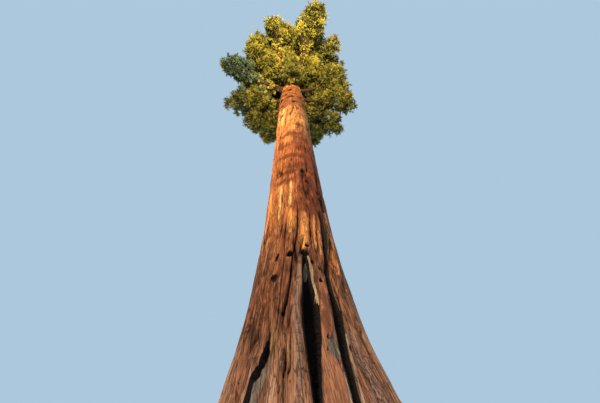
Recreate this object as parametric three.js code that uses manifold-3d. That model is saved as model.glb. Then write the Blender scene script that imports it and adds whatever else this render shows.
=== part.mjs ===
// A giant sequoia: a tall trunk with a flared, ribbed and fire-hollowed foot, tapering boughs that
// leave it only in the upper half, and a rounded crown made of dense masses of foliage.
// Millimetres, +Z up, origin at the middle of the flat ground cut, the hollowed side towards -Y.
// The living tree is about 78 m tall. Every size below is that tree's, scaled evenly to 40 m.
// Azimuths are in degrees from +X, turning towards +Y, and reaches are measured from the trunk's axis.

import * as THREE from "three";
import { mergeVertices } from "three/addons/utils/BufferGeometryUtils.js";
import Module from "manifold-3d";

const wasm = await Module();
wasm.setup();

const HEIGHT = 40000;
const GAP = 0.3; // clearance left where one solid meets the next
const SKIN = 30; // clearance between foliage and a limb that passes it
const SEED = 1913;
const TWIG_STREAM = 17; // steps between the seeds of two masses, for their twigs and for their cores
const CORE_STREAM = 31;
const STEEP = 0.95; // a direction that rises more than this is taken as upright

// The trunk: a slowly narrowing column on a flared foot, leaning a little towards +X.
const COLUMN_RADIUS = 1070;
const COLUMN_TAPER = 0.0055;
const CROWN_BASE = 21500;
const TRUNK_TOP = 36200;
const TRUNK_TOP_RADIUS = 130;
const CROWN_TAPER = 0.8;
const FLARE = 1750;
const FLARE_HEIGHT = 2600;
const FLARE_TRIM = 470;
const FLARE_TRIM_HEIGHT = 800;
const LEAN = 0.042;
const LEAN_START = 3000;
const TRUNK_SIDES = 32;
const TRUNK_ROWS = 24;
const ROW_CROWDING = 1.9; // rows lie closer together towards the foot

// Root ribs: each swells the flare around its azimuth, and fades out up the column.
const RIB_WIDTH = 13;
const RIB_FADE = 9000;
const RIB_COLUMN_SHARE = 0.05;
const RIBS = [
  { azimuth: -137, swell: 0.3 },
  { azimuth: -99, swell: 0.28 },
  { azimuth: -73, swell: 0.18 },
  { azimuth: -42, swell: 0.26 },
  { azimuth: 0, swell: 0.04 },
  { azimuth: 38, swell: 0.34 },
  { azimuth: 76, swell: 0.2 },
  { azimuth: 112, swell: 0.36 },
  { azimuth: 148, swell: 0.24 },
  { azimuth: 182, swell: 0.14 },
];

// Hollows burnt into the foot, followed from the foot to the pointed head: the height, the azimuth
// of the middle and half the width there. Deep is how far a hollow goes in from the bark.
const HOLLOWS = [
  {
    deep: 560,
    stations: [
      { z: 900, azimuth: -87, half: 40 },
      { z: 2100, azimuth: -86, half: 45 },
      { z: 2700, azimuth: -85, half: 85 },
      { z: 3300, azimuth: -83, half: 145 },
      { z: 3900, azimuth: -82, half: 150 },
      { z: 4500, azimuth: -84, half: 90 },
      { z: 5600, azimuth: -82, half: 20 },
    ],
  },
  {
    deep: 280,
    stations: [
      { z: 1900, azimuth: -69, half: 25 },
      { z: 2500, azimuth: -66, half: 50 },
      { z: 3000, azimuth: -65, half: 80 },
      { z: 3600, azimuth: -67, half: 60 },
      { z: 4800, azimuth: -63, half: 60 },
      { z: 6000, azimuth: -55, half: 65 },
      { z: 7100, azimuth: -51, half: 20 },
    ],
  },
  {
    deep: 430,
    stations: [
      { z: 400, azimuth: -126, half: 260 },
      { z: 1400, azimuth: -123, half: 200 },
      { z: 2300, azimuth: -119, half: 115 },
      { z: 2800, azimuth: -116, half: 90 },
      { z: 3400, azimuth: -113, half: 15 },
    ],
  },
];
const HOLLOW_MARGIN = 500; // how far a hollow's cutter stands out of the bark
const HOLLOW_BACK = 0.55; // width of a hollow's back wall as a share of its mouth

// The boughs: each leaves the trunk level or sagging, and rises into its mass.
const BOUGH_TURN = 0.62; // where it turns upwards, as a share of its reach
const BOUGH_SAG = 0.02;
const BOUGH_ROOT = 0.042; // root radius as a share of its reach
const BOUGH_TIP = 0.55; // tip radius as a share of the root radius
const BOUGH_SIDES = 6;
const BOUGH_RINGS = 3;
const LIMB_SAMPLES = 24;
const PIECE_SHARES = [0, 0.25, 0.5, 0.75, 1]; // where along a piece its distance to the trunk is tested

// The foliage masses: each fills an upright ellipsoid, longer from the trunk outwards than across.
const MASS_LONG = 1.45;
const MASS_TALL = 1.35;
const MASS_GAP = 70; // left between two masses that meet
const ROUNDING = 1e-4; // how far past its mass's outline a tip may be, as a share of the radius
const STEM_ENTRY = 0.95; // where the stem starts, as a share of the mass's radius
const STEM_MOST = 0.6; // and at most such a share of the way back to where the bough turns upwards
const STEM_DROP = 0.5; // how far below its mass a stem leaves the trunk, as a share of the reach
const STEM_ROOT = 0.075; // radius of a stem that grows straight off the trunk, as a share of its mass's
const STEM_TIP = 0.6;
const CORE_SIZE = 0.74; // this and the shares below are of the mass's radius, or of the way to its outline
const CORE_LUMPS = 0.2;
const CORE_STEP = 0.97; // a core's corner is drawn in by such steps until it lies in its mass's space
const TWIG_SPACING = 270; // a mass has one twig for each such length of its radius
const TWIG_SIDES = 3;
const TWIG_REACH = 0.7;
const TWIG_REACH_VARIATION = 0.06;
const TWIG_RADIUS = 0.07;
const TWIG_TIP = 0.5;
const TWIG_FIRST = 0.7; // the share of the stem that is bare of twigs
const BARE_BACK = -0.62; // no twig points nearer than this to the stem that carries the mass
const TWIG_WANDER = 0.5; // how far a twig may be off its even place around the stem
const SPRAYS_PER_TWIG = 2;
const SPRAY_FIRST = 0.74; // where along a twig its first and its last spray start
const SPRAY_LAST = 0.95;
const SPRAY_SPREAD = 52;
const SPRAY_SPREAD_VARIATION = 12;
const SPRAY_LONGEST = 0.62;
const SPRAY_SHORTEST = 0.3;
const SPRAY_STEP = 4; // a spray is shortened by such steps until its tip lies in its mass
const SPRAY_WIDTH = 0.4; // half the width and half the thickness as shares of the length
const SPRAY_THICKNESS = 0.24;
const SPRAY_BELLY = 0.5; // where a spray is widest, as a share of its length
const GOLDEN_TURN = Math.PI * (3 - Math.sqrt(5));

// One row for each mass that shapes the crown's outline: where its middle is, its radius, and the
// height at which its bough leaves the trunk. A row with no such height grows straight off the trunk.
const MASSES = [
  { name: "low_back_right", azimuth: 58, reach: 2650, height: 20900, radius: 1000, leaves: 19900 },
  { name: "low_back_left", azimuth: 134, reach: 2550, height: 21100, radius: 1000, leaves: 20300 },
  { name: "low_left_back", azimuth: 152, reach: 2850, height: 22600, radius: 1400, leaves: 21500 },
  { name: "low_right_back", azimuth: 36, reach: 3300, height: 23300, radius: 1500, leaves: 22000 },
  { name: "low_back", azimuth: 92, reach: 2500, height: 23900, radius: 1700, leaves: 22700 },
  { name: "low_left", azimuth: 174, reach: 3650, height: 24200, radius: 1650, leaves: 22800 },
  { name: "low_right", azimuth: 12, reach: 3700, height: 24300, radius: 1600, leaves: 23200 },
  { name: "right_low", azimuth: -5, reach: 3550, height: 26200, radius: 1600, leaves: 24700 },
  { name: "left_far", azimuth: -157, reach: 4750, height: 26100, radius: 1300, leaves: 24400 },
  { name: "front_right", azimuth: -67, reach: 5000, height: 27300, radius: 1450, leaves: 25300 },
  { name: "back_left", azimuth: 118, reach: 3300, height: 27000, radius: 2000, leaves: 25500 },
  { name: "left", azimuth: 176, reach: 2650, height: 27700, radius: 1800, leaves: 26300 },
  { name: "left_front", azimuth: -137, reach: 3300, height: 28100, radius: 1650, leaves: 26700 },
  { name: "front_left_tip", azimuth: -106, reach: 4700, height: 28100, radius: 900, leaves: 26200 },
  { name: "right_front", azimuth: -41, reach: 4150, height: 28200, radius: 1350, leaves: 26500 },
  { name: "back_right", azimuth: 62, reach: 3600, height: 27500, radius: 2000, leaves: 26100 },
  { name: "right", azimuth: -14, reach: 3100, height: 29200, radius: 1750, leaves: 27800 },
  { name: "front", azimuth: -66, reach: 2850, height: 30100, radius: 1850, leaves: 28700 },
  { name: "front_left", azimuth: -100, reach: 2850, height: 30200, radius: 1850, leaves: 28400 },
  { name: "right_high", azimuth: 32, reach: 3000, height: 30100, radius: 1750, leaves: 28500 },
  { name: "left_high", azimuth: 172, reach: 2900, height: 30800, radius: 1750, leaves: 29200 },
  { name: "front_low", azimuth: -88, reach: 1700, height: 24600, radius: 1200 },
  { name: "inner_left", azimuth: -130, reach: 1850, height: 26100, radius: 1400 },
  { name: "inner_right", azimuth: -44, reach: 1950, height: 26300, radius: 1400 },
];
// Above them the crown closes in two even tiers. Only the lower one's masses have boughs.
const TIERS = [
  { name: "upper", count: 5, first: 8, reach: 2250, height: 32600, radius: 2200, leaves: 31400 },
  { name: "high", count: 3, first: 50, reach: 1300, height: 35600, radius: 2000 },
];
const TIER_TURN = 10; // how far a tier's mass may be off its even place, in degrees
const TIER_SHIFT = 350; // and in reach and height
const TOP_MASS_RADIUS = 1800;

const BARK = new THREE.MeshStandardMaterial({ color: 0xa8623a, roughness: 0.95, metalness: 0 });
const BOUGH_BARK = new THREE.MeshStandardMaterial({ color: 0x7d4d33, roughness: 0.95, metalness: 0 });
const NEEDLES = new THREE.MeshStandardMaterial({ color: 0x6b7530, roughness: 0.85, metalness: 0 });

const UP = new THREE.Vector3(0, 0, 1);
const { degToRad, radToDeg } = THREE.MathUtils;

// A repeatable stream of numbers from 0 to 1.
function seeded(seed) {
  let state = seed;
  return () => {
    state = (state * 16807) % 2147483647;
    return state / 2147483647;
  };
}

const spreadAbout = (random, most) => most * (2 * random() - 1);

// Solids are three.js shapes whose corners are then moved into place.
function solidOf(shape, move) {
  shape.deleteAttribute("normal");
  shape.deleteAttribute("uv");
  const { attributes, index } = mergeVertices(shape);
  const corners = attributes.position;
  for (let i = 0; i < corners.count; i++) {
    const moved = move(new THREE.Vector3().fromBufferAttribute(corners, i));
    corners.setXYZ(i, moved.x, moved.y, moved.z);
  }
  const vertProperties = new Float32Array(corners.array);
  const triVerts = new Uint32Array(index.array);
  return new wasm.Manifold(new wasm.Mesh({ numProp: 3, vertProperties, triVerts }));
}

function meshOf(name, solid, material) {
  const { vertProperties, triVerts } = solid.getMesh();
  const geometry = new THREE.BufferGeometry();
  geometry.setAttribute("position", new THREE.BufferAttribute(vertProperties, 3));
  geometry.setIndex(new THREE.BufferAttribute(triVerts, 1));
  geometry.computeVertexNormals();
  const mesh = new THREE.Mesh(geometry, material);
  mesh.name = name;
  return mesh;
}

// A cut can leave scraps beside the piece that is wanted, which is the largest.
function largestPiece(solid) {
  return solid.decompose().reduce((most, piece) => (piece.volume() > most.volume() ? piece : most));
}

function outwardAt(azimuth) {
  return new THREE.Vector3(Math.cos(degToRad(azimuth)), Math.sin(degToRad(azimuth)), 0);
}

function axisAt(z) {
  return new THREE.Vector3(LEAN * (z - LEAN_START * (1 - Math.exp(-z / LEAN_START))), 0, z);
}

// How much the ribs swell the flare at an azimuth. Their mean all the way round is taken off.
function ribAt(azimuth) {
  const mean = RIBS.reduce((sum, { swell }) => sum + swell, 0) * RIB_WIDTH * Math.sqrt(Math.PI) / 360;
  return RIBS.reduce((sum, rib) => {
    const turn = THREE.MathUtils.euclideanModulo(azimuth - rib.azimuth + 180, 360) - 180;
    return sum + rib.swell * Math.exp(-((turn / RIB_WIDTH) ** 2));
  }, -mean);
}

function columnRadius(z) {
  if (z < CROWN_BASE) return COLUMN_RADIUS - COLUMN_TAPER * z;
  const left = (TRUNK_TOP - z) / (TRUNK_TOP - CROWN_BASE);
  const base = COLUMN_RADIUS - COLUMN_TAPER * CROWN_BASE;
  return TRUNK_TOP_RADIUS + (base - TRUNK_TOP_RADIUS) * Math.max(left, 0) ** CROWN_TAPER;
}

function trunkRadius(azimuth, z) {
  const rib = ribAt(azimuth);
  const flare = FLARE * Math.exp(-z / FLARE_HEIGHT) - FLARE_TRIM * Math.exp(-z / FLARE_TRIM_HEIGHT);
  return columnRadius(z) * (1 + RIB_COLUMN_SHARE * rib * Math.exp(-z / RIB_FADE)) + flare * (1 + rib);
}

function onTrunk(azimuth, z, out) {
  return axisAt(z).addScaledVector(outwardAt(azimuth), trunkRadius(azimuth, z) + out);
}

// The whole trunk before its hollows, or grown outwards by a clearance to serve as a cutter.
function trunkSolid(clearance) {
  const column = new THREE.CylinderGeometry(1, 1, 1, TRUNK_SIDES, TRUNK_ROWS);
  return solidOf(column, (corner) => {
    const z = TRUNK_TOP * (corner.y + 0.5) ** ROW_CROWDING;
    if (Math.hypot(corner.x, corner.z) < 0.5) return axisAt(z);
    return onTrunk(radToDeg(Math.atan2(-corner.z, corner.x)), z, clearance);
  });
}

// The cutter of one hollow: a bar through the bark with a narrower back, bent to follow its stations.
function hollowCutter({ deep, stations }) {
  const last = stations.length - 1;
  return solidOf(new THREE.BoxGeometry(2, 2, 1, 1, 1, last), (corner) => {
    const { z, azimuth, half } = stations[Math.round((corner.z + 0.5) * last)];
    const outside = corner.y > 0;
    const along = -corner.x * half * (outside ? 1 : HOLLOW_BACK);
    const turn = radToDeg(along / trunkRadius(azimuth, z));
    return onTrunk(azimuth + turn, z, outside ? HOLLOW_MARGIN : -deep);
  });
}

// Two directions across a third one.
function across(direction) {
  const reference = Math.abs(direction.z) > STEEP ? new THREE.Vector3(1, 0, 0) : UP;
  const side = new THREE.Vector3().crossVectors(reference, direction).normalize();
  return { side, normal: new THREE.Vector3().crossVectors(direction, side) };
}

// A limb or twig of a few flat sides that tapers along a curve, with flat ends.
function limbSolid({ curve, root, tip }, sides, rings) {
  return solidOf(new THREE.CylinderGeometry(1, 1, 1, sides, rings), (corner) => {
    const share = corner.y + 0.5;
    const { side, normal } = across(curve.getTangent(share));
    const radius = THREE.MathUtils.lerp(root, tip, share);
    const point = curve.getPoint(share);
    return point.addScaledVector(side, corner.z * radius).addScaledVector(normal, corner.x * radius);
  });
}

// A spray is a flat spindle of eight faces from its root to its tip.
function spraySolid({ root, tip }) {
  const along = new THREE.Vector3().subVectors(tip, root);
  const length = along.length();
  const { side, normal } = across(along.clone().normalize());
  return solidOf(new THREE.OctahedronGeometry(1), (corner) => {
    const share = corner.z === 0 ? SPRAY_BELLY : (corner.z + 1) / 2;
    return root
      .clone()
      .addScaledVector(along, share)
      .addScaledVector(side, corner.x * SPRAY_WIDTH * length)
      .addScaledVector(normal, corner.y * SPRAY_THICKNESS * length);
  });
}

// Where a mass is, which way its stem points, and the bough that carries it, if it has one.
function placedMass({ name, azimuth, reach, height, radius, leaves }, index) {
  const outward = outwardAt(azimuth);
  const centre = axisAt(height).addScaledVector(outward, reach);
  const start = axisAt(leaves ?? height - STEM_DROP * reach);
  const turn = start.clone().addScaledVector(outward, reach * BOUGH_TURN);
  turn.z -= reach * BOUGH_SAG;
  const from = leaves ? turn : start;
  const out = new THREE.Vector3().subVectors(centre, from).normalize();
  const inside = Math.min(STEM_ENTRY * radius, STEM_MOST * centre.distanceTo(from));
  const entry = centre.clone().addScaledVector(out, -inside);
  const root = BOUGH_ROOT * reach;
  const curve = new THREE.QuadraticBezierCurve3(start, turn, entry);
  const bough = leaves ? { curve, root, tip: root * BOUGH_TIP } : null;
  const stemStart = bough ? entry.clone().addScaledVector(out, GAP) : start;
  return { name, index, centre, outward, out, radius, bough, stemStart };
}

// The mass at the top: its stem goes on from the flat top of the trunk, and its tip is the tree's.
function topMass(index) {
  const radius = TOP_MASS_RADIUS;
  const centre = axisAt(HEIGHT - MASS_TALL * radius);
  const stemStart = axisAt(TRUNK_TOP + GAP);
  return { name: "top", index, centre, outward: outwardAt(0), out: UP, radius, bough: null, stemStart };
}

function tierRows({ name, count, first, reach, height, radius, leaves }) {
  const random = seeded(SEED + first);
  return Array.from({ length: count }, (_, i) => {
    const azimuth = first + (360 * i) / count + spreadAbout(random, TIER_TURN);
    const shift = spreadAbout(random, TIER_SHIFT);
    const lift = spreadAbout(random, TIER_SHIFT);
    return {
      name: `${name}_${i + 1}`,
      azimuth,
      reach: reach + shift,
      height: height + lift,
      radius,
      leaves: leaves && leaves + lift,
    };
  });
}

// A point's distance from a mass's middle, as a share of the way to the mass's outline.
function depthShare({ centre, outward, radius }, point) {
  const offset = new THREE.Vector3().subVectors(point, centre).divideScalar(radius);
  const along = offset.dot(outward);
  const wide = offset.dot(new THREE.Vector3().crossVectors(UP, outward));
  return Math.hypot(along / MASS_LONG, wide, offset.z / MASS_TALL);
}

// The point at a share of the way from a mass's middle to its outline, in a direction.
function atShare({ centre, outward, radius }, direction, share) {
  const stretched = direction.clone().addScaledVector(outward, (MASS_LONG - 1) * direction.dot(outward));
  stretched.z = direction.z * MASS_TALL;
  return centre.clone().addScaledVector(stretched, radius * share);
}

// How far a point is short of the plane that parts a mass from each of its neighbours.
function roomTowards(mass, other, point) {
  const between = new THREE.Vector3().subVectors(other.centre, mass.centre);
  const apart = between.length();
  const share = (apart * mass.radius) / (mass.radius + other.radius) - MASS_GAP / 2;
  const offset = new THREE.Vector3().subVectors(point, mass.centre);
  return share - offset.dot(between) / apart;
}

function insideSpace(mass, point, margin) {
  if (depthShare(mass, point) > 1 + ROUNDING) return false;
  return masses.every((other) => other === mass || roomTowards(mass, other, point) > margin);
}

// True where a straight piece of a half width stays clear of the trunk and of every bough.
function clearOfLimbs(from, to, half) {
  const piece = new THREE.Line3(from, to);
  const nearest = new THREE.Vector3();
  const clearOfBoughs = boughSamples.every(({ point, radius }) => {
    piece.closestPointToPoint(point, true, nearest);
    return nearest.distanceTo(point) > radius + half + SKIN;
  });
  return clearOfBoughs && PIECE_SHARES.every((share) => {
    const point = piece.at(share, nearest);
    if (point.z > TRUNK_TOP + SKIN) return true;
    const axis = axisAt(point.z);
    const azimuth = radToDeg(Math.atan2(point.y - axis.y, point.x - axis.x));
    return point.distanceTo(axis) > trunkRadius(azimuth, point.z) + half + SKIN;
  });
}

// The twigs of a mass: the first goes straight on from the stem, and the rest turn round it.
function twigsOf(mass) {
  const random = seeded(SEED + TWIG_STREAM * mass.index);
  const phase = 2 * Math.PI * random();
  const count = Math.round(mass.radius / TWIG_SPACING);
  const twigs = [];
  for (let i = 0; i < count; i++) {
    const along = 1 - ((1 - BARE_BACK) * i) / (count - 1);
    const turn = phase + GOLDEN_TURN * i + spreadAbout(random, TWIG_WANDER);
    const reach = TWIG_REACH + spreadAbout(random, TWIG_REACH_VARIATION);
    const away = Math.sqrt(1 - along * along);
    const start = mass.stemStart.clone().lerp(mass.centre, TWIG_FIRST + (1 - TWIG_FIRST) * random());
    const { side, normal } = across(mass.out);
    const direction = mass.out.clone().multiplyScalar(along);
    direction.addScaledVector(side, away * Math.cos(turn)).addScaledVector(normal, away * Math.sin(turn));
    const end = atShare(mass, direction, reach);
    twigs.push({ start, end, sprays: spraysOf(mass, start, end, random) });
  }
  return twigs;
}

// A twig's sprays: the last goes straight on, and the others spread to its sides.
function spraysOf(mass, start, end, random) {
  const direction = new THREE.Vector3().subVectors(end, start).normalize();
  const roll = 2 * Math.PI * random();
  const sprays = [];
  for (let j = 0; j < SPRAYS_PER_TWIG; j++) {
    const share = j / (SPRAYS_PER_TWIG - 1);
    const spread = degToRad(SPRAY_SPREAD + spreadAbout(random, SPRAY_SPREAD_VARIATION));
    const { side, normal } = across(direction);
    const turn = roll + Math.PI * j;
    const sideways = side.multiplyScalar(Math.cos(turn)).addScaledVector(normal, Math.sin(turn));
    const tilt = share < 1 ? spread : 0;
    const heading = direction.clone().multiplyScalar(Math.cos(tilt));
    heading.addScaledVector(sideways, Math.sin(tilt));
    const foot = start.clone().lerp(end, THREE.MathUtils.lerp(SPRAY_FIRST, SPRAY_LAST, share));
    sprays.push(sprayFrom(mass, foot, heading));
  }
  return sprays;
}

// A spray starts on its twig's centre line, and is as long as its mass's outline allows.
function sprayFrom(mass, root, heading) {
  let length = SPRAY_LONGEST * mass.radius;
  const tipAt = () => root.clone().addScaledVector(heading, length);
  while (depthShare(mass, tipAt()) > 1 && length > 0) length -= SPRAY_STEP;
  return { root, tip: tipAt(), length };
}

function keepsTwig(mass, { start, end }) {
  const half = TWIG_RADIUS * mass.radius;
  return insideSpace(mass, end, half) && clearOfLimbs(start, end, half);
}

function keepsSpray(mass, { root, tip, length }) {
  if (length < SPRAY_SHORTEST * mass.radius) return false;
  const half = SPRAY_WIDTH * length;
  const belly = root.clone().lerp(tip, SPRAY_BELLY);
  return insideSpace(mass, tip, 0) && insideSpace(mass, belly, half) && clearOfLimbs(root, tip, half);
}

// The dense middle that the sprays stand out of: a lumpy ball drawn in to the mass's own space.
function coreSolid(mass) {
  const random = seeded(SEED + CORE_STREAM * mass.index);
  const ball = solidOf(new THREE.IcosahedronGeometry(1, 1), (corner) => {
    let size = CORE_SIZE * (1 + spreadAbout(random, CORE_LUMPS));
    while (!insideSpace(mass, atShare(mass, corner, size), 0)) size *= CORE_STEP;
    return atShare(mass, corner, size);
  });
  return ball.subtract(limbCutters);
}

function stemSolid({ bough, radius, stemStart, centre }, clearance) {
  const root = bough ? bough.tip : STEM_ROOT * radius;
  const curve = new THREE.LineCurve3(stemStart, centre);
  const stem = { curve, root: root + clearance, tip: root * STEM_TIP + clearance };
  return limbSolid(stem, BOUGH_SIDES, 1).subtract(trunkCutter);
}

// The other masses' stems that grow straight off the trunk, grown by the clearance.
function passingStems(mass) {
  const others = masses.filter((other) => other !== mass && !other.bough);
  return wasm.Manifold.union(others.map((other) => stemSolid(other, SKIN)));
}

function massSolid(mass) {
  const solids = [coreSolid(mass), stemSolid(mass, 0)];
  for (const twig of twigsOf(mass)) {
    if (!keepsTwig(mass, twig)) continue;
    const curve = new THREE.LineCurve3(twig.start, twig.end);
    const root = TWIG_RADIUS * mass.radius;
    solids.push(limbSolid({ curve, root, tip: root * TWIG_TIP }, TWIG_SIDES, 1));
    solids.push(...twig.sprays.filter((spray) => keepsSpray(mass, spray)).map(spraySolid));
  }
  return largestPiece(wasm.Manifold.union(solids).subtract(passingStems(mass)));
}

function samplesOf({ curve, root, tip }) {
  return curve.getPoints(LIMB_SAMPLES).map((point, i) => {
    return { point, radius: THREE.MathUtils.lerp(root, tip, i / LIMB_SAMPLES) };
  });
}

// A bough grown by the clearance, and the short collar that keeps its mass off its flat tip.
function boughCutters({ bough: { curve, root, tip }, out, stemStart }) {
  const radius = tip + SKIN;
  const collar = new THREE.LineCurve3(stemStart.clone().addScaledVector(out, -radius), stemStart);
  return [
    limbSolid({ curve, root: root + SKIN, tip: radius }, BOUGH_SIDES, BOUGH_RINGS),
    limbSolid({ curve: collar, root: radius, tip: radius }, BOUGH_SIDES, 1),
  ];
}

const rows = [...MASSES, ...TIERS.flatMap(tierRows)];
const masses = [...rows.map((row, index) => placedMass(row, index + 1)), topMass(rows.length + 1)];
const carried = masses.filter(({ bough }) => bough);
const boughSamples = carried.flatMap(({ bough }) => samplesOf(bough));
const trunkCutter = trunkSolid(GAP);
const limbCutters = wasm.Manifold.union([trunkSolid(SKIN), ...carried.flatMap(boughCutters)]);

const trunk = HOLLOWS.reduce((solid, hollow) => solid.subtract(hollowCutter(hollow)), trunkSolid(0));
const tree = new THREE.Group();
tree.add(meshOf("trunk", largestPiece(trunk), BARK));
for (const { name, bough } of carried) {
  const limb = limbSolid(bough, BOUGH_SIDES, BOUGH_RINGS).subtract(trunkCutter);
  tree.add(meshOf(`bough_${name}`, largestPiece(limb), BOUGH_BARK));
}
for (const mass of masses) {
  tree.add(meshOf(`foliage_${mass.name}`, massSolid(mass), NEEDLES));
}

export default tree;
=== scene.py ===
"""The looks of the giant sequoia around its solids: bark with relief on the trunk and the boughs, and
dense bunches of scale-leaved sprays on forking twigs. Metres, +Z up, the burnt side towards -Y."""
import math
from types import SimpleNamespace

import bmesh
import bpy
import numpy as np
from mathutils import Matrix, Vector, noise


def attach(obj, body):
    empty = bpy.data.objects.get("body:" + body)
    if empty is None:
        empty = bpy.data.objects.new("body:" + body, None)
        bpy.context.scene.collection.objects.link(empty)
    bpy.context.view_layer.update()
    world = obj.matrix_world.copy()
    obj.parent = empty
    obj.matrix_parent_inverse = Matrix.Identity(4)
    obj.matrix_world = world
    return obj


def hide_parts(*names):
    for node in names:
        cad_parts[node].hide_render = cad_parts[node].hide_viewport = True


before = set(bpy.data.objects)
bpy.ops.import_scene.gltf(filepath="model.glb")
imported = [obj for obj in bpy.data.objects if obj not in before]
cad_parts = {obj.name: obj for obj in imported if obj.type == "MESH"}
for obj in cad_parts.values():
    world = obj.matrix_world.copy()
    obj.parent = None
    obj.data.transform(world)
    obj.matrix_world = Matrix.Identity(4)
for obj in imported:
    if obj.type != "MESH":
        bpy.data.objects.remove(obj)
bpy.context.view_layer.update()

UP = np.array([0.0, 0.0, 1.0])
ALONG_X = np.array([1.0, 0.0, 0.0])
STEEP = 0.95  # a direction that rises more than this is taken as upright
GOLDEN_TURN = math.pi * (3 - math.sqrt(5))
SEED = 1913
TWIG_STREAM = 17  # the step between the seeds of two masses
STREAMS = {"bunches": 1, "sprays": 3, "turns": 5, "shade": 7, "bough": 11}  # a seed for each growth
LAST_STATE = 2**31 - 1
MULTIPLIER = 16807

# The trunk's own form, in metres and degrees: a leaning column on a flared, ribbed foot.
COLUMN_RADIUS = 1.07
COLUMN_TAPER = 0.0055
CROWN_BASE = 21.5
TRUNK_TOP = 36.2
TRUNK_TOP_RADIUS = 0.13
CROWN_TAPER = 0.8
FLARE = 1.75
FLARE_HEIGHT = 2.6
FLARE_TRIM = 0.47
FLARE_TRIM_HEIGHT = 0.8
LEAN = 0.042
LEAN_START = 3.0
RIB_WIDTH = 13.0
RIB_FADE = 9.0
RIB_COLUMN_SHARE = 0.05
RIBS = [
    (-137, 0.3), (-99, 0.28), (-73, 0.18), (-42, 0.26), (0, 0.04),
    (38, 0.34), (76, 0.2), (112, 0.36), (148, 0.24), (182, 0.14),
]

# The mesh of the bark. Where the butt's finer mesh gives way to the column's, the two lap.
BUTT_TOP = 8.0
BARK_LAP = 0.05
BUTT_GRID = (410, 240)  # corners round the trunk, and up it
BUTT_CROWDING = 1.0
COLUMN_GRID = (240, 390)
COLUMN_CROWDING = 1.12  # rows lie closer together low down
BURNT_SIDE = -90.0
FACING_CROWDING = 0.45  # corners lie closer together on the burnt side, which has the marks
LEAST_RADIUS = 0.05  # no hollow goes deeper than this from the trunk's axis

# Marks on the trunk, each followed from its foot to its head by height, azimuth and half its width.
# Burnt marks also say how far they go in.
BURNT_MARKS = [
    [(0.3, -87.5, 0.03, 0.3), (2.1, -85.3, 0.044, 0.5), (2.52, -84.8, 0.08, 0.56),
     (3.02, -84, 0.127, 0.6), (3.42, -83.6, 0.147, 0.6), (3.88, -82.8, 0.165, 0.6),
     (4.14, -83.3, 0.114, 0.5), (4.42, -83.5, 0.081, 0.34), (4.97, -83.2, 0.062, 0.16),
     (5.2, -83.4, 0.035, 0.1), (5.3, -83.3, 0.01, 0.1)],
    [(0.3, -70, 0.05, 0.2), (2.1, -67.1, 0.054, 0.3), (2.7, -65.5, 0.068, 0.34),
     (3.26, -64.1, 0.085, 0.34), (3.71, -62.5, 0.08, 0.32), (4.2, -62.2, 0.046, 0.3),
     (4.82, -59.7, 0.034, 0.28), (5.53, -56.8, 0.036, 0.26), (5.93, -55.1, 0.03, 0.22),
     (6.37, -54, 0.02, 0.18), (6.96, -51.1, 0.01, 0.1), (7.3, -50.5, 0.006, 0.06)],
    # along the left hollow's edge the char black also paints the deep shade under the ridge's lip
    [(0.3, -131, 0.03, 0.3), (1.4, -126.6, 0.02, 0.4), (2.3, -122.6, 0.012, 0.4),
     (2.6, -121.8, 0.018, 0.4), (2.73, -120, 0.032, 0.4), (2.83, -117.6, 0.052, 0.4),
     (2.96, -115, 0.07, 0.4), (3.1, -113.8, 0.036, 0.3), (3.2, -113.4, 0.014, 0.2),
     (3.32, -113.5, 0.006, 0.1)],
]
BURNT_RIM = 0.036  # how far the bark round a burnt mark is burnt too
RECESSES = [  # hollows between two roots that aren't burnt
    [(0.3, -126, 0.3, 0.14), (1.4, -122, 0.24, 0.12), (2.28, -118.8, 0.14, 0.09),
     (2.6, -116.3, 0.18, 0.08), (2.84, -114.2, 0.15, 0.08), (3.02, -114, 0.09, 0.08),
     (3.17, -113.2, 0.03, 0.06), (3.3, -113.5, 0.01, 0.03)],
]
CRACKS = [  # long narrow splits between two ridges
    [(3.3, -103.5, 0.01), (3.6, -103, 0.03), (3.85, -101.4, 0.05), (4.3, -99, 0.03),
     (4.73, -97.7, 0.028), (5.2, -96.3, 0.024), (5.77, -92.1, 0.022), (6.4, -89.1, 0.022),
     (6.87, -88.2, 0.02), (7.6, -88, 0.01)],
    [(2.5, -98.4, 0.02), (2.6, -97, 0.014), (3.3, -97.1, 0.01)],
    [(2.4, -101.4, 0.01), (2.64, -100, 0.018), (2.9, -100.4, 0.01)],
    [(4.1, -120.6, 0.014), (4.32, -120.4, 0.03), (4.7, -120.2, 0.014)],
    [(5, -142.6, 0.03), (5.4, -141.2, 0.05), (5.8, -139.9, 0.02)],
    [(3.6, -124.2, 0.014), (3.83, -123.5, 0.03), (4.2, -122.5, 0.012)],
    [(3.44, -133.8, 0.02), (3.6, -133, 0.05), (3.84, -135.8, 0.02)],
    [(3.18, -114, 0.014), (3.4, -114.9, 0.026), (3.6, -114.4, 0.012)],
    [(5.5, -74, 0.014), (5.95, -72.6, 0.028), (6.4, -71.3, 0.024), (7, -69.5, 0.012)],
    [(5.55, -65.4, 0.014), (6.02, -63.6, 0.022), (6.5, -61.8, 0.012)],
    [(3.4, -58.6, 0.02), (3.85, -55.8, 0.04), (4.08, -55.1, 0.05), (4.3, -55.6, 0.04),
     (4.6, -56.4, 0.014)],
    [(4.1, -42, 0.03), (4.41, -43, 0.045), (4.75, -44.1, 0.02)],
    [(2.7, -46.8, 0.02), (3.04, -45.6, 0.028), (3.3, -45, 0.014)],
    [(2.2, -127.8, 0.01), (2.4, -127.9, 0.02), (2.7, -129.4, 0.01)],
    [(0.6, 20, 0.03), (2.2, 21, 0.05), (4.6, 24, 0.03), (6.4, 27, 0.01)],
    [(0.8, 92, 0.03), (2.6, 94, 0.05), (5.2, 92, 0.02)],
    [(0.5, 165, 0.03), (1.9, 166, 0.05), (3.6, 163, 0.02)],
]
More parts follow.
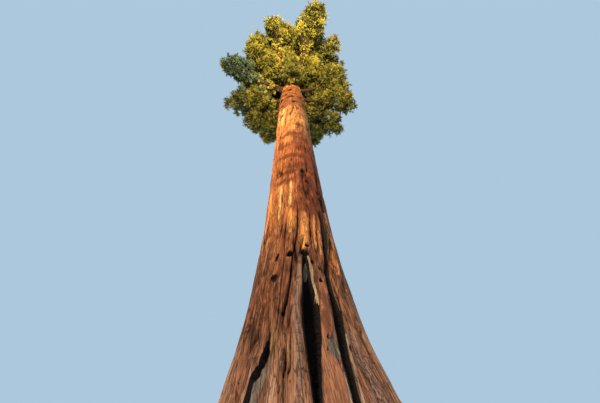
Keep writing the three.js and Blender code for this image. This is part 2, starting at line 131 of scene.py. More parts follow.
CRACK_DEEP = 0.1
CRACK_SOFT = 0.5
HOLLOW_WALL = 0.4  # a hollow's wall, as a share of its half width
KNOT_HOLES = [  # height, azimuth, half the width
    (5.26, -98.8, 0.085), (5.57, -79.3, 0.07), (5.28, -82.5, 0.085), (5.02, -75.9, 0.05),
    (4.81, -68.5, 0.045), (4.46, -69.6, 0.06), (5.34, -116, 0.07), (4.68, -115.7, 0.09),
    (4.4, -148, 0.11), (7.99, -42, 0.12), (9.71, -72, 0.1), (8.94, -64.5, 0.09), (3.09, -73.8, 0.04),
    (3.63, -103.1, 0.04), (2.94, -58.4, 0.035), (8.4, -47, 0.07), (7.5, -39, 0.06), (7.2, 35, 0.08),
    (5.1, 97, 0.09), (10.4, 160, 0.08), (13.2, 70, 0.08),
]
KNOT_TALL = 1.4
KNOT_DEEP = 0.13
KNOT_WALL = 0.6
KNOT_CHAR = (-0.1, 0.25)  # where the char round a knot hole starts, and where it is full
KNOT_FRAY = 0.85
SOOT_AND_SHADE_SPOTS = [  # sooty smudges, and in the wide, low ones on the column painted shadows of branches: height, azimuth, half the width, half the height, strength
    (9.5, -74, 0.3, 0.6, 0.9), (8.8, -66, 0.3, 0.6, 1.0), (8.3, -77, 0.22, 0.5, 0.7),
    (8.2, -42, 0.4, 0.9, 1.0), (7.2, -67, 0.24, 0.7, 0.8), (7.1, -86, 0.14, 0.5, 0.7),
    (6.8, -50, 0.3, 0.8, 0.8), (10.6, -50, 0.34, 0.8, 0.7), (14.65, -68, 0.34, 0.5, 0.8),
    (13.4, -90, 0.66, 0.42, 0.9), (12.9, -66, 0.45, 0.42, 0.9), (12.3, -127, 0.3, 0.45, 0.9),
    (11.85, -68, 0.45, 0.36, 0.9), (11.03, -86, 0.95, 0.3, 0.9), (10.1, -80, 0.75, 0.28, 0.9),
    (9.65, -92, 0.75, 0.22, 1.0), (9.03, -110, 0.46, 0.26, 0.9), (9.2, -66, 0.32, 0.4, 0.9),
    (7.9, -63, 0.42, 0.4, 0.9), (7.15, -73, 0.34, 0.2, 0.8), (7.6, -82, 0.4, 0.5, 0.7),
    (5.2, -81, 0.3, 0.35, 0.8), (3.45, -72.6, 0.13, 0.34, 0.7), (3.9, -71, 0.1, 0.3, 0.8),
    (8.9, 30, 0.4, 0.7, 0.7), (6.9, 120, 0.5, 0.8, 0.7), (12.4, 100, 0.6, 0.4, 0.7),
    (15.5, 10, 0.5, 0.5, 0.6), (10.2, 175, 0.5, 0.4, 0.7), (4.5, 60, 0.3, 0.7, 0.6),
]
SOOT_AND_SHADE_EDGE = (-0.25, 0.6)
SOOT_AND_SHADE_FRAY = 0.7
FLAKED_AND_SUNLIT_MARKS = [  # bright orange bark where old layers have flaked off, and on the burnt side painted sunlight falling on the bark
    [(4.7, -50, 0.05), (5.1, -47.5, 0.2), (5.5, -45.5, 0.24), (5.9, -43, 0.26), (6.3, -41.5, 0.28),
     (6.8, -40.5, 0.26), (7.2, -38, 0.22), (7.7, -36, 0.06)],
    [(5.45, -83, 0.13), (5.7, -82.6, 0.18), (6.1, -81.3, 0.19), (6.5, -80, 0.19), (6.85, -79, 0.17),
     (7.15, -78.6, 0.08)],
    [(5.5, -69, 0.03), (5.8, -67.9, 0.06), (6.65, -64.5, 0.065), (7, -63, 0.03)],
    [(5.3, -63, 0.03), (5.87, -62, 0.05), (6.7, -56.6, 0.06), (7.1, -55, 0.03)],
    [(6.1, -99, 0.06), (6.5, -99, 0.16), (6.95, -98.5, 0.15), (7.3, -98, 0.05)],
    [(6.2, -152, 0.1), (7.4, -148, 0.3), (8.8, -145, 0.1)],
    [(6.8, 118, 0.08), (8.4, 116, 0.2), (10, 114, 0.06)],
]
PALE_STREAKS = [  # strips of fresh, straw-coloured bark
    [(6.9, -118.3, 0.02), (7.1, -118.2, 0.05), (7.4, -117.8, 0.062), (7.95, -117.8, 0.075),
     (8.5, -117.6, 0.08), (9, -117.5, 0.02)],
    [(7.3, -100.5, 0.02), (7.55, -100.2, 0.08), (8, -98.5, 0.085), (8.5, -97.6, 0.09), (9, -97, 0.02)],
    [(7.1, -112, 0.015), (7.9, -113, 0.04), (8.7, -114.5, 0.015)],
    [(15, -125, 0.1), (16.8, -124, 0.3), (18.2, -123, 0.1)],
    [(9.5, 150, 0.03), (11.2, 152, 0.08), (13, 153, 0.03)],
]
CREAM_MARKS = [  # bare sapwood at the torn edges of the bark
    [(3.78, -76.2, 0.01), (3.95, -76.6, 0.024), (4.2, -77, 0.034), (4.41, -78, 0.038),
     (4.72, -77.4, 0.046), (4.9, -77.6, 0.046), (5.04, -78.8, 0.034), (5.2, -79.9, 0.014)],
    [(0.3, -65.5, 0.02), (2.1, -63.2, 0.024), (2.41, -61.2, 0.022), (2.6, -60.6, 0.028),
     (2.89, -60.6, 0.026), (3.2, -59.8, 0.014)],
    [(0.3, -71.5, 0.016), (2.1, -70, 0.014), (2.4, -69.3, 0.012), (2.62, -69.6, 0.006)],
]
GREY_MARKS = [  # weathered wood behind the bark
    [(2.7, -69.6, 0.03), (2.79, -71.5, 0.11), (2.85, -72, 0.12), (2.94, -72.2, 0.11),
     (3.02, -71.8, 0.09), (3.1, -71, 0.06), (3.18, -69.8, 0.015)],
    [(4.6, -83.3, 0.03), (4.66, -83.1, 0.06), (4.84, -83, 0.056), (5.04, -82.8, 0.03)],
    [(0.3, -124.5, 0.24), (1.5, -120.6, 0.2), (2.28, -118.6, 0.13), (2.55, -117, 0.16),
     (2.68, -114.4, 0.13), (2.8, -112, 0.07), (2.88, -111.2, 0.03)],
]
SMOOTH_MARKS = [  # bare plates of inner bark, with no furrows
    [(0.2, -78, 0.24), (1.2, -77.5, 0.23), (2.1, -76.6, 0.2), (2.49, -75.5, 0.185), (2.7, -76, 0.17),
     (2.85, -78.5, 0.06), (3.22, -73.5, 0.11), (3.54, -72, 0.12), (3.9, -70.5, 0.11), (4.5, -68, 0.04)],
    [(1.6, 68, 0.06), (2.6, 66, 0.2), (4.2, 64, 0.08)],
]
FADED_MARKS = [  # rounded greyish ridges
    [(2.2, -92, 0.02), (2.6, -92, 0.07), (2.94, -92.5, 0.1), (3.54, -93.6, 0.107), (3.9, -93.7, 0.113),
     (4.28, -92.1, 0.13), (4.72, -90.9, 0.11), (5.1, -90.2, 0.08), (5.4, -90, 0.03)],
    [(0.3, -53, 0.5), (2.1, -53.9, 0.24), (2.5, -53.7, 0.17), (2.9, -54.1, 0.13), (3.3, -55, 0.06)],
    [(0.3, 95, 0.4), (1.8, 97, 0.3), (3.2, 99, 0.1)],
]
LICHEN_MARKS = [
    [(2.75, -107.2, 0.04), (2.91, -107.9, 0.09), (3.1, -108.5, 0.1), (3.35, -109.3, 0.05)],
    [(1.2, 142, 0.1), (1.9, 141, 0.2), (2.6, 139, 0.08)],
]
BULGES = [  # plates that stand out: height, azimuth, half the width, half the height, how far
    (2.95, -104.5, 0.3, 0.5, 0.05), (2.1, -92.3, 0.19, 1.9, 0.05), (3.3, -93.3, 0.13, 1.1, 0.03),
    (1.6, -54, 0.24, 1.3, 0.05), (5.7, -49, 0.17, 1.5, 0.09), (2.2, 65, 0.3, 1, 0.07),
    (3.1, 140, 0.25, 1.2, 0.06), (1.9, -160, 0.3, 1.2, 0.06), (2.8, 15, 0.2, 1.3, 0.06),
]
BULGE_EDGE = 0.5
PLACED_MARKS = {  # the marks that only colour the bark, and how soft their edges are
    "inner": (SMOOTH_MARKS, 0.25), "cream": (CREAM_MARKS, 0.4), "grey": (GREY_MARKS, 0.3),
    "faded": (FADED_MARKS, 0.8), "lichen": (LICHEN_MARKS, 0.9), "pale": (PALE_STREAKS, 0.9),
    "flaked_and_sunlit": (FLAKED_AND_SUNLIT_MARKS, 0.9),
}
OFF_MARK = -9.0  # what a mark gives where it doesn't reach
RAGGED = ((1.4, 0.16), (4.3, 0.07))  # waves of a mark's edge: how many for each metre, and how deep
RAGGED_SIDES = 5  # how far apart the waves of a mark's two edges are taken from the noise

# Furrows: the bark's broad ridges, and the narrower ones among them. Widths in metres.
BROAD_RIDGE = 0.33
NARROW_RIDGE = 0.135
BROAD_FURROW = 0.11
NARROW_FURROW = 0.035
BROAD_LIP = 0.085  # how wide a furrow is, as a share of its ridge
NARROW_LIP = 0.13
TOP_FURROW_SHARE = 0.24  # furrows grow shallower up the trunk, to this share at its top
FURROW_FADE = 8.0
FURROW_SWAY = 5.0  # degrees by which a ridge wanders
FURROW_STRENGTH, FURROW_VARIATION, LEAST_FURROW = 0.75, 1.1, 0.2
FURROW_DARK = (0.85, 0.6)  # how dark the broad and the narrow furrows are painted, as the shade down in them
BARE_DEPTH = (0.05, 0.3)  # metres into a hollow over which the furrows end
BARE_SHALLOW, BARE_PALE, BARE_COLLAR = 0.9, 0.85, 0.8  # how much of the furrows goes at a bare place
FOOT_PALE, FOOT_PALE_FROM = 0.5, (4.4, 2.4)  # the furrows are less dark below these heights
LUMP_HIGH = 0.03
COLLAR_FOOT, COLLAR_HEAD = 17.6, 24.0  # wrinkles round the trunk below the crown
COLLAR_START, COLLAR_END = 1.2, 1.0  # metres over which they set in and end
COLLAR_STEP = 0.95
COLLAR_WANDER = 0.7  # how many steps a wrinkle strays on its way round
COLLAR_WAVE = (-0.4, 0.3)
COLLAR_BREAKS = (-0.35, 0.2)
COLLAR_RELIEF = 0.12
COLLAR_BACK = 0.45  # how strong it is on the far side from the burnt one
COLLAR_FACING = (-0.4, 0.5)

# Noise round the trunk: how wide its cells are in metres, how many times longer they are, and its start.
BROAD_NOISE = (BROAD_RIDGE, 9, 0)
NARROW_NOISE = (NARROW_RIDGE, 7.2, 67)
STRENGTH_NOISE = (0.5, 3, 13)
SWAY_NOISE = (0.9, 3, 31)
KNOT_NOISE = (0.13, 1.2, 3)
SOOT_AND_SHADE_NOISE = (0.17, 2, 23)
LUMP_NOISE = (0.5, 2, 11)
WANDER_NOISE = (0.9, 1.2, 5)
BREAK_NOISE = (0.6, 0.8, 19)

# The crown: each mass of foliage fills an upright ellipsoid, cut off where it meets its neighbours.
MASS_LONG = 1.45  # how much further it reaches away from the trunk than sideways
MASS_TALL = 1.35
MASS_GAP = 0.07
BOUGH_TURN = 0.62  # where a bough bends up, as a share of its reach
BOUGH_SAG = 0.02
BOUGH_ROOT = 0.042  # its radius at the trunk, as a share of its reach
BOUGH_TIP = 0.55
STEM_ENTRY = 0.95  # where the stem in a mass starts, in radii of the mass from its middle
STEM_MOST = 0.6
STEM_DROP = 0.5
STEM_ROOT = 0.05
STEM_TIP = 0.6
TWIG_SPACING = 0.27
TWIG_REACH = 0.7
TWIG_REACH_VARIATION = 0.06
TWIG_FIRST = 0.7  # where the first twig leaves the stem
TWIG_WANDER = 0.5
BARE_BACK = -0.62  # how far back towards the trunk the last twig points
SPRAYS_PER_TWIG = 2
SPRAY_FIRST = 0.74
SPRAY_LAST = 0.95
SPRAY_SPREAD = 52
SPRAY_SPREAD_VARIATION = 12
SPRAY_LONGEST = 0.62  # of the solids' sprays, in radii of their mass
MASSES = [  # name, azimuth, reach, height, radius, height at which the bough leaves the trunk
    ("low_back_right", 58, 2.65, 20.9, 1.0, 19.9),
    ("low_back_left", 134, 2.55, 21.1, 1.0, 20.3),
    ("low_left_back", 152, 2.85, 22.6, 1.4, 21.5),
    ("low_right_back", 36, 3.3, 23.3, 1.5, 22.0),
    ("low_back", 92, 2.5, 23.9, 1.7, 22.7),
    ("low_left", 174, 3.65, 24.2, 1.65, 22.8),
    ("low_right", 12, 3.7, 24.3, 1.6, 23.2),
    ("right_low", -5, 3.55, 26.2, 1.6, 24.7),
    ("left_far", -157, 4.75, 26.1, 1.3, 24.4),
    ("front_right", -67, 5.0, 27.3, 1.45, 25.3),
    ("back_left", 118, 3.3, 27.0, 2.0, 25.5),
    ("left", 176, 2.65, 27.7, 1.8, 26.3),
    ("left_front", -137, 3.3, 28.1, 1.65, 26.7),
    ("front_left_tip", -106, 4.7, 28.1, 0.9, 26.2),
    ("right_front", -41, 4.15, 28.2, 1.35, 26.5),
    ("back_right", 62, 3.6, 27.5, 2.0, 26.1),
    ("right", -14, 3.1, 29.2, 1.75, 27.8),
    ("front", -66, 2.85, 30.1, 1.85, 28.7),
    ("front_left", -100, 2.85, 30.2, 1.85, 28.4),
    ("right_high", 32, 3.0, 30.1, 1.75, 28.5),
    ("left_high", 172, 2.9, 30.8, 1.75, 29.2),
    ("front_low", -88, 1.7, 24.6, 1.2, None),
    ("inner_left", -130, 1.85, 26.1, 1.4, None),
    ("inner_right", -44, 1.95, 26.3, 1.4, None),
]
TIERS = [  # name, count, first azimuth, reach, height, radius, height at which the boughs leave
    ("upper", 5, 8, 2.25, 32.6, 2.2, 31.4),
    ("high", 3, 50, 1.3, 35.6, 2.0, None),
]
TIER_TURN = 10
TIER_SHIFT = 0.35
TOP_MASS_RADIUS = 1.8
TOP_STEM_DROP, TOP_STEM_SHARE = 0.2, 0.9  # metres below the trunk's top, and of its radius there
HEIGHT = 40.0

# The limbs: how many rings and sides they have, and how thick they are.
BOUGH_RINGS, BOUGH_SIDES = 60, 14
BOUGH_BURIED = 0.12  # metres of a bough inside the bark
BOUGH_SWELL, BOUGH_SWELL_REACH = 0.55, 0.05  # how much thicker its foot is, and over which share of it
BOUGH_RIDGES = 0.3
RIDGES_ROUND, RIDGES_ALONG = 3.1, 0.8
STEM_RINGS = 8
STEM_BURIED = 0.1
TWIG_RINGS, TWIG_SIDES = 7, 7
TWIG_ROOT, TWIG_TIP = 0.55, 0.4  # of the stem's radius, and of the twig's own
TWIG_SAG = 0.06
TWIG_OFF_TRUNK = 0.05
FINE_RINGS, FINE_SIDES = 4, 3
FINE_RADII = (0.02, 0.009)
FINE_SAG, FINE_BULGE = 0.1, 0.1
FORKS_FROM, STEM_FORKS = 2, 2  # rings of a twig that carry no fork, and of the stem's end that do
FORK_OUT, FORK_OUT_WEIGHT = 0.5, 0.5  # a fork lies half as far out as its bunch where that isn't too far

# Bunches of sprays at the ends of the finest twigs, over the outside of every mass.
BUNCH_SPACING = 0.8  # metres between the middles of two bunches
BUNCH_JITTER = 0.06
BUNCH_STRETCH = 1.12  # a mass's reach in its radii, for the share of it that a spray takes
BUNCH_DEPTH = 0.13  # unevenness of a mass's outside, as a share of its radius
BUNCH_LUMP, LUMP_START = 1.7, 3.7  # how many lumps there are on a mass, and where its noise starts
LUMP_SET_IN, LUMP_SWELL = 0.8, 1.4
BUNCH_SCATTER = 0.16
BUNCH_LIFT = 0.25  # how much a bunch turns upwards
BUNCH_TURN_VARIATION = 0.2
BUNCH_OFF_TRUNK = 0.25
BUNCH_OFF_PLANE = 0.1
BOUGH_POINTS = 40
BOUGH_BARE = 0.6  # metres of a bough next to the trunk that carry nothing
BOUGH_INNER = 0.8  # a bough carries no bunches of its own further inside its mass than this share
BOUGH_BUNCH_STEP = 0.3
BOUGH_BUNCH_OFF = 0.2
FAR_FIRST, FAR_STEPS = 0.05, 12  # places tried along a long spray of the solids
FAR_ROOM, FAR_STRETCH = 0.9, 1.1
INNER_SHARE = 0.86  # a bunch pushed in further than this by a neighbour is hidden, and most are left out
INNER_KEPT = 0.4
LEAST_SHARE = 0.5
TINY = 1e-6
SPRAYS_PER_BUNCH = 24
SPRAY_LENGTH = 0.42  # larger than life, so that fewer cover the crown
SPRAY_LENGTHS = (0.75, 1.05)
SPRAY_SHORTENING = 0.2  # how much shorter a bunch's last spray is than its first
SPRAY_DISORDER = 0.16
SPRAY_FOOT, SPRAY_FOOT_VARIATION = 0.03, 0.05  # metres from the bunch's middle
# painted light: sprays that point upwards take paler tones
UPPER_LIGHT = 0.1
BUNCH_LIGHT_VARIATION, SPRAY_LIGHT_VARIATION = 0.17, 0.15
BUNCH_CAP = 108  # degrees from a bunch's heading to its last spray

# A spray's cords, in shares of its length.
SPRAY_SHAPES = 6
SIDE_CORDS = 5
CORD_HALF_WIDTH = 0.085
CORD_FOLD = 0.45  # how far a cord's two halves fold, as a share of its half width
CORD_BELLY = 0.4  # where a cord is widest
CORD_FIRST, CORD_STRETCH = 0.1, 0.74  # where the side cords start, and over how much they are spread
CORD_SHIFT, CORD_TWIST = 0.2, 0.4
CORD_TILTS = (36, 60)
CORD_LONGEST, CORD_SHORTENING = 0.55, 0.3
CORD_LENGTHS = (0.85, 1.15)
CORD_OUTER = 0.35  # the side cords beyond it are a tone paler, as painted highlights

# Larger sprays inside a mass, which close it to the sky, darker as painted shade.
SHADE_PER_AREA = 62  # sprays for each square metre of the mass's radius squared
SHADE_LENGTH = 0.85
SHADE_SIDE_CORDS = 5
SHADE_HALF_WIDTH = 0.105
SHADE_SHARES = (0.2, 0.74)
SHADE_LENGTHS = (0.7, 1.1)
SHADE_DISORDER = 0.45
SHADE_OFF_PLANE, SHADE_OFF_TRUNK = 0.2, 0.1
SHADE_LEAST_SHARE = 0.3
SHADE_REACH = 0.97
# painted shade: the inner sprays take the darkest tones, darker still further in
SHADE_LIGHT, SHADE_LIGHT_MIDDLE, SHADE_LIGHT_SLOPE = -0.34, 0.5, 0.5
SHADE_LIGHT_VARIATION = 0.06

# Colours, as the eye reads them on the sheet.
BARK_TONES = {
    "furrow": "#2A160F", "shade": "#7E452A", "body": "#AC6138", "lit": "#CC8246", "gold": "#F0B062",
    "glow": "#F0A05A", "pale": "#F8D690", "red": "#A04C2D", "char": "#1C1918", "stain": "#48291B",
    "dull_shade": "#4E3222", "dull": "#755039", "foot_body": "#C88762", "foot_lit": "#F6C6A2",
    "cream_shade": "#90745A", "cream": "#D6BC94", "grey_shade": "#5E5048", "grey": "#A09080",
    "inner_shade": "#A86A48", "inner": "#D6946A", "faded_shade": "#846454", "faded": "#AA8C7C",
    "lichen": "#8C7A3C",
}
SHADED_BOUGH_TONES = ("#1E1713", "#382B22", "#43352A", "#2A160F")  # dark and light fibres, strips, and cracks, all made darker as painted shade on the boughs
BARK_MARKS = ("furrow", "wrinkle", "collar", "char", "stain", *PLACED_MARKS)
# The bark's colours, each laid over those before it: what places it, where that starts and is full, how
# strongly, and its dark and light fibres. Four tones: the last two are on the paler strips.
BARK_LAYERS = [
    ("up", -1.0, 0.0, 1.0, "body lit lit gold"),
    # painted shade: the bark turns darker and redder towards +X, the side away from the key light
    ("across", -0.95, 0.55, 1.0, "shade red red body"),
    # painted light: the bark above 12 m turns golden and paler, as if sunlit
    ("up", 12.0, 15.5, 0.85, "lit gold gold pale"),
    # painted shadow: darker rings round the trunk stand in for the shadows of branches
    ("shadow_bands", 0.5, 0.6, 0.6, "stain shade"),
    # painted shade: the collar of bark under the crown is darker
    ("collar", 0.1, 0.9, 0.8, "stain body"),
    # painted shade: below 7.4 m the bark turns darker and browner for the shade on the lower trunk; the
    # paler foot below 3.8 m is laid over it
    ("height", 7.4, 5.8, 1.0, "dull_shade dull dull foot_body"),
    ("height", 3.8, 2.6, 1.0, "dull foot_body foot_body foot_lit"),
    ("patches", 0.4, 1.0, 0.4, "shade body"),
    ("faded", 0.1, 0.9, 0.9, "faded_shade faded"),
    ("lichen", 0.1, 0.9, 0.5, "lichen lichen"),
    # painted light: glowing orange where sunlight falls on the burnt side, besides bark where old layers
    # have flaked off
    ("flaked_and_sunlit", 0.0, 0.8, 1.0, "lit glow glow gold"),
    ("pale", 0.2, 0.9, 1.0, "gold pale"),
    ("lines", 0.0, 1.0, 0.75, "furrow furrow"),
    ("inner", 0.3, 0.7, 0.85, "inner_shade inner"),
    # soot, and painted shadows of branches across the column
    ("stain", 0.05, 1.0, 0.9, "furrow shade"),
    # painted shade in the grooves of the collar's wrinkles
    ("wrinkle", 0.15, 0.6, 0.95, "furrow furrow"),
    # painted shade down in the furrows and the carved cracks
    ("furrow", 0.3, 0.9, 1.0, "furrow furrow"),
    ("char", 0.3, 0.7, 1.0, "char char"),
    ("grey", 0.3, 0.7, 1.0, "grey_shade grey"),
    ("cream", 0.3, 0.7, 1.0, "cream_shade cream"),
]
BARK_LINES = [  # fine cracks: width of the ridges between them, how much longer, how thin, and where
    (0.1, 24, 0.03, "everywhere"),
    (0.05, 9, 0.04, "everywhere"),
    (0.028, 26, 0.05, "everywhere"),
    (0.4, 0.14, 0.014, "faded"),
]
BOUGH_LINES = (0.06, 6, 0.03)  # the same for the young bark of the boughs
LINE_DETAIL = 2.0
GAP_WIDTH, GAP_DRAW, GAP_SHARES = 2.3, 0.5, (0.42, 0.56)  # where the cracks end, against the ridges

# The bark's patterns along its grain: how many times longer than wide, their detail, and the two values
# of the noise between which they go from none to full. Sizes in metres.
TRUNK_FIBRE, BOUGH_FIBRE = 0.03, 0.015
FIBRES = (14, 5.0, 0.34, 0.66)
STRIP_FIBRES = 5  # a strip is as wide as five fibres
STRIPS = (9, 3.0, 0.4, 0.62)
PATCH_SIZE = 0.8
PATCHES = (3, 3.0, 0.36, 0.62)
PATCH_SHIFT = 0.8  # how far a patch moves the layers that are placed by height
# painted shadows of branches: noise wide round the trunk and short along it
SHADOW_BANDS = (1.4, 0.22, 3.0)
FRAY, FRAY_START = 0.5, -0.25
NOISE_ROUGHNESS = 0.6
CRACK_SINK = -2.0
RELIEF_STRENGTH = 0.8
TRUNK_FINE_RELIEF, BOUGH_FINE_RELIEF = 0.025, 0.01

# The leaves' colours, from the darkest to the palest, and where they lie.
LEAF_TONES = {
    "deepest": "#363D20", "deep": "#565C27", "green": "#757830", "olive": "#8B8736",
    "yellow_green": "#A1993E", "pale": "#B9AF54",
}
COOL_LEAF_TONES = {"blue_green_deep": "#3E5244", "blue_green": "#647F68"}
DRY_LEAF_TONE = "#8C6634"
LEAF_STEPS = (-0.3, -0.1, 0.08, 0.26)  # how light a spray is where one tone gives way to the next
# painted light and shade: sprays on a mass's outside take paler tones, those further in darker ones
OUTER_LIGHT, OUTER_FROM = 0.5, 0.8
COOL_SCALE, COOL_RARITY, COOL_DEEP_LEVEL = 0.5, 0.8, 1
DRY_SCALE, DRY_START, DRY_RARITY, DRY_LEVEL = 0.9, 40, 0.45, 2
OPEN_MASSES = {  # masses that stand open to the sky in places, and how open they are
    "front_low": -0.15, "inner_left": -0.3, "low_left": -0.14, "low_left_back": -0.14,
    "low_back_left": -0.12, "low_back_right": -0.08, "low_right_back": -0.12, "low_right": -0.2,
    "left_far": -0.02, "low_back": -0.16, "right_low": -0.2, "right_front": -0.2,
}
OPEN_SCALE = 0.75
CLOSED = -1.0
COOL_MASSES = {"left_far": 1.0, "low_left": 0.65}  # masses whose blue-green paints the shade they stand in, and how much of it

# The studio.
FLOOR_HALF = 400
FLOOR_DROP = 0.001
FLOOR_COLOUR = "#DAD8D2"
SKY_COLOUR, SKY_STRENGTH = "#BFDDF4", 0.8
LIGHTS = [  # name, place, aim, strength, colour, then its kind, width and spread: metres and degrees
    ("key", (-17, -23, 18), (0.8, 0, 15), 2100, "#FFCF8E", "AREA", 6, 52),
    ("crown", (2, -22, 9), (1.8, -0.5, 31), 2100, "#FFD690", "AREA", 5, 40),
    ("front", (-8, -22, 14), (0, 0, 0), 1.38, "#FFE2C4", "SUN", 0, 50),
    ("back", (16, 20, 18), (0, 0, 0), 1.1, "#FFF0DC", "SUN", 0, 50),
]

# The photograph's view: close to the foot, from eye height, with a 16 mm lens turned up the trunk.
LENS = 16.02
CAMERA_PLACE = (0.0, -6.15, 0.82)
CAMERA_PITCH = 53.27
CAMERA_YAW = -3.81
CAMERA_ROLL = -7.49
FAR_CLIP = 1000


def linear(sheet_colour):
    """Linear red, green, blue and alpha of an sRGB hex value."""
    parts = [int(sheet_colour[i:i + 2], 16) / 255 for i in (1, 3, 5)]
    return [p / 12.92 if p <= 0.04045 else ((p + 0.055) / 1.055) ** 2.4 for p in parts] + [1.0]


def add_node(tree, kind, inputs=None, take=None, **settings):
    """A new node, or one of its outputs: its settings, its inputs' values and links from other nodes."""
    node = tree.nodes.new(kind)
    for name, value in settings.items():
        setattr(node, name, value)
    for name, value in (inputs or {}).items():
        if isinstance(value, bpy.types.NodeSocket):
            tree.links.new(value, node.inputs[name])
        else:
            node.inputs[name].default_value = value
    return node if take is None else node.outputs[take]


def seeded(seed):
    """The same repeatable stream of numbers from 0 to 1 that grows the solids."""
    state = seed
    while True:
        state = state * MULTIPLIER % LAST_STATE
        yield state / LAST_STATE


def stream(growth, mass):
    """The numbers that one kind of growth draws in one mass, the same every time."""
    return np.random.default_rng(SEED * STREAMS[growth] + mass.index)


def spread_about(random, most):
    return most * (2 * next(random) - 1)


def smooth_step(low, high, value):
    share = np.clip((value - low) / (high - low), 0, 1)
    return share * share * (3 - 2 * share)


def turn_between(azimuth, other):
    """Signed degrees from one azimuth to another, the short way round."""
    return (azimuth - other + 180) % 360 - 180


def unit(vectors):
    return vectors / np.linalg.norm(vectors, axis=-1, keepdims=True)


def outward_at(azimuth):
    turn = np.radians(azimuth)
    return np.stack((np.cos(turn), np.sin(turn), np.zeros_like(turn)), axis=-1)


def axis_at(z):
    z = np.asarray(z, float)
    lean = LEAN * (z - LEAN_START * (1 - np.exp(-z / LEAN_START)))
    return np.stack((lean, np.zeros_like(z), z), axis=-1)


def column_radius(z):
    base = COLUMN_RADIUS - COLUMN_TAPER * CROWN_BASE
    left = np.clip((TRUNK_TOP - z) / (TRUNK_TOP - CROWN_BASE), 0, 1)
    tip = TRUNK_TOP_RADIUS + (base - TRUNK_TOP_RADIUS) * left**CROWN_TAPER
    return np.where(z < CROWN_BASE, COLUMN_RADIUS - COLUMN_TAPER * z, tip)


def rib_at(azimuth):
    mean = sum(swell for _, swell in RIBS) * RIB_WIDTH * math.sqrt(math.pi) / 360
    return sum(s * np.exp(-((turn_between(azimuth, a) / RIB_WIDTH) ** 2)) for a, s in RIBS) - mean


def trunk_radius(azimuth, z):
    rib = rib_at(azimuth)
    flare = FLARE * np.exp(-z / FLARE_HEIGHT) - FLARE_TRIM * np.exp(-z / FLARE_TRIM_HEIGHT)
    return column_radius(z) * (1 + RIB_COLUMN_SHARE * rib * np.exp(-z / RIB_FADE)) + flare * (1 + rib)


def noise_at(points):
    return np.array([noise.noise(point) for point in points.tolist()])


def trunk_noise(azimuth, z, cells):
    """Noise that closes on itself round the trunk and is drawn out along it."""
    width, draw, start = cells
    around = COLUMN_RADIUS * outward_at(azimuth) / width
    around[:, 2] = z / (width * draw) + start
    return noise_at(around)


def along_mark(mark, azimuth, z, radius):
    """How deep inside a mark each place lies, from 0 at its edge to 1 at its middle; how many metres in
    from the edge that is; and what else its stations say."""
    stations = np.array(mark)
    heights = stations[:, 0]
    middle, half, *rest = (np.interp(z, heights, column) for column in stations[:, 1:].T)
    arc = np.radians(turn_between(azimuth, middle)) * radius
    ragged = np.ones_like(z)
    for waves, deep in RAGGED:
        places = (z * waves, np.sign(arc) * RAGGED_SIDES, np.zeros_like(z))
        ragged += deep * noise_at(np.stack(places, axis=1))
    inside = 1 - np.abs(arc) / (half * ragged)
    inside = np.where((z >= heights[0]) & (z <= heights[-1]), inside, OFF_MARK)
    return inside, inside * half * ragged, rest


def in_marks(marks, azimuth, z, radius, soft):
    """From 0 outside some marks to 1 a soft edge's width inside any of them."""
    inside = np.full_like(z, OFF_MARK)
    for mark in marks:
        inside = np.maximum(inside, along_mark(mark, azimuth, z, radius)[0])
    return smooth_step(0, soft, inside)


def in_spot(azimuth, z, radius, height, middle, half, tall):
    """How deep inside an upright oval each place lies, from 0 at its edge to 1 at its middle."""
    arc = np.radians(turn_between(azimuth, middle)) * radius
    return 1 - np.hypot(arc / half, (z - height) / tall)


def furrows_at(azimuth, z, radius):
    """Depths of the broad and of the narrow furrows, from 0 on a ridge to 1 in a furrow."""
    thin = COLUMN_RADIUS / radius
    varied = FURROW_STRENGTH + FURROW_VARIATION * trunk_noise(azimuth, z, STRENGTH_NOISE)
    strength = np.clip(varied, LEAST_FURROW, 1)
    for cells, lip in ((BROAD_NOISE, BROAD_LIP), (NARROW_NOISE, NARROW_LIP)):
        yield strength * np.exp(-np.abs(trunk_noise(azimuth, z, cells)) / (lip * thin))


def hollows_at(azimuth, z, radius):
    """How far the burnt marks, the hollows and the knot holes go in, and how charred the bark is."""
    deep, char = np.zeros_like(z), np.zeros_like(z)
    for mark in BURNT_MARKS + RECESSES:
        inside, edge, (depth,) = along_mark(mark, azimuth, z, radius)
        deep = np.maximum(deep, depth * smooth_step(0, HOLLOW_WALL, inside))
        if mark in BURNT_MARKS:
            char = np.maximum(char, smooth_step(-BURNT_RIM, -BURNT_RIM / 3, edge))
    frayed = KNOT_FRAY * trunk_noise(azimuth, z, KNOT_NOISE)
    for height, middle, half in KNOT_HOLES:
        inside = in_spot(azimuth, z, radius, height, middle, half, half * KNOT_TALL) + frayed
        deep = np.maximum(deep, KNOT_DEEP * smooth_step(0, KNOT_WALL, inside))
        char = np.maximum(char, smooth_step(*KNOT_CHAR, inside))
    return deep, char


def soot_and_shade_at(azimuth, z, radius):
    """How sooty the bark is, with painted shadows of branches across the column."""
    stain = np.zeros_like(z)
    frayed = SOOT_AND_SHADE_FRAY * trunk_noise(azimuth, z, SOOT_AND_SHADE_NOISE)
    for height, middle, half, tall, strength in SOOT_AND_SHADE_SPOTS:
        inside = in_spot(azimuth, z, radius, height, middle, half, tall) + frayed
        stain = np.maximum(stain, strength * smooth_step(*SOOT_AND_SHADE_EDGE, inside))
    return stain


def bulge_at(azimuth, z, radius):
    """How many metres the plates of bark stand out."""
    out = np.zeros_like(z)
    for height, middle, half, tall, most in BULGES:
        out += most * smooth_step(0, BULGE_EDGE, in_spot(azimuth, z, radius, height, middle, half, tall))
    return out


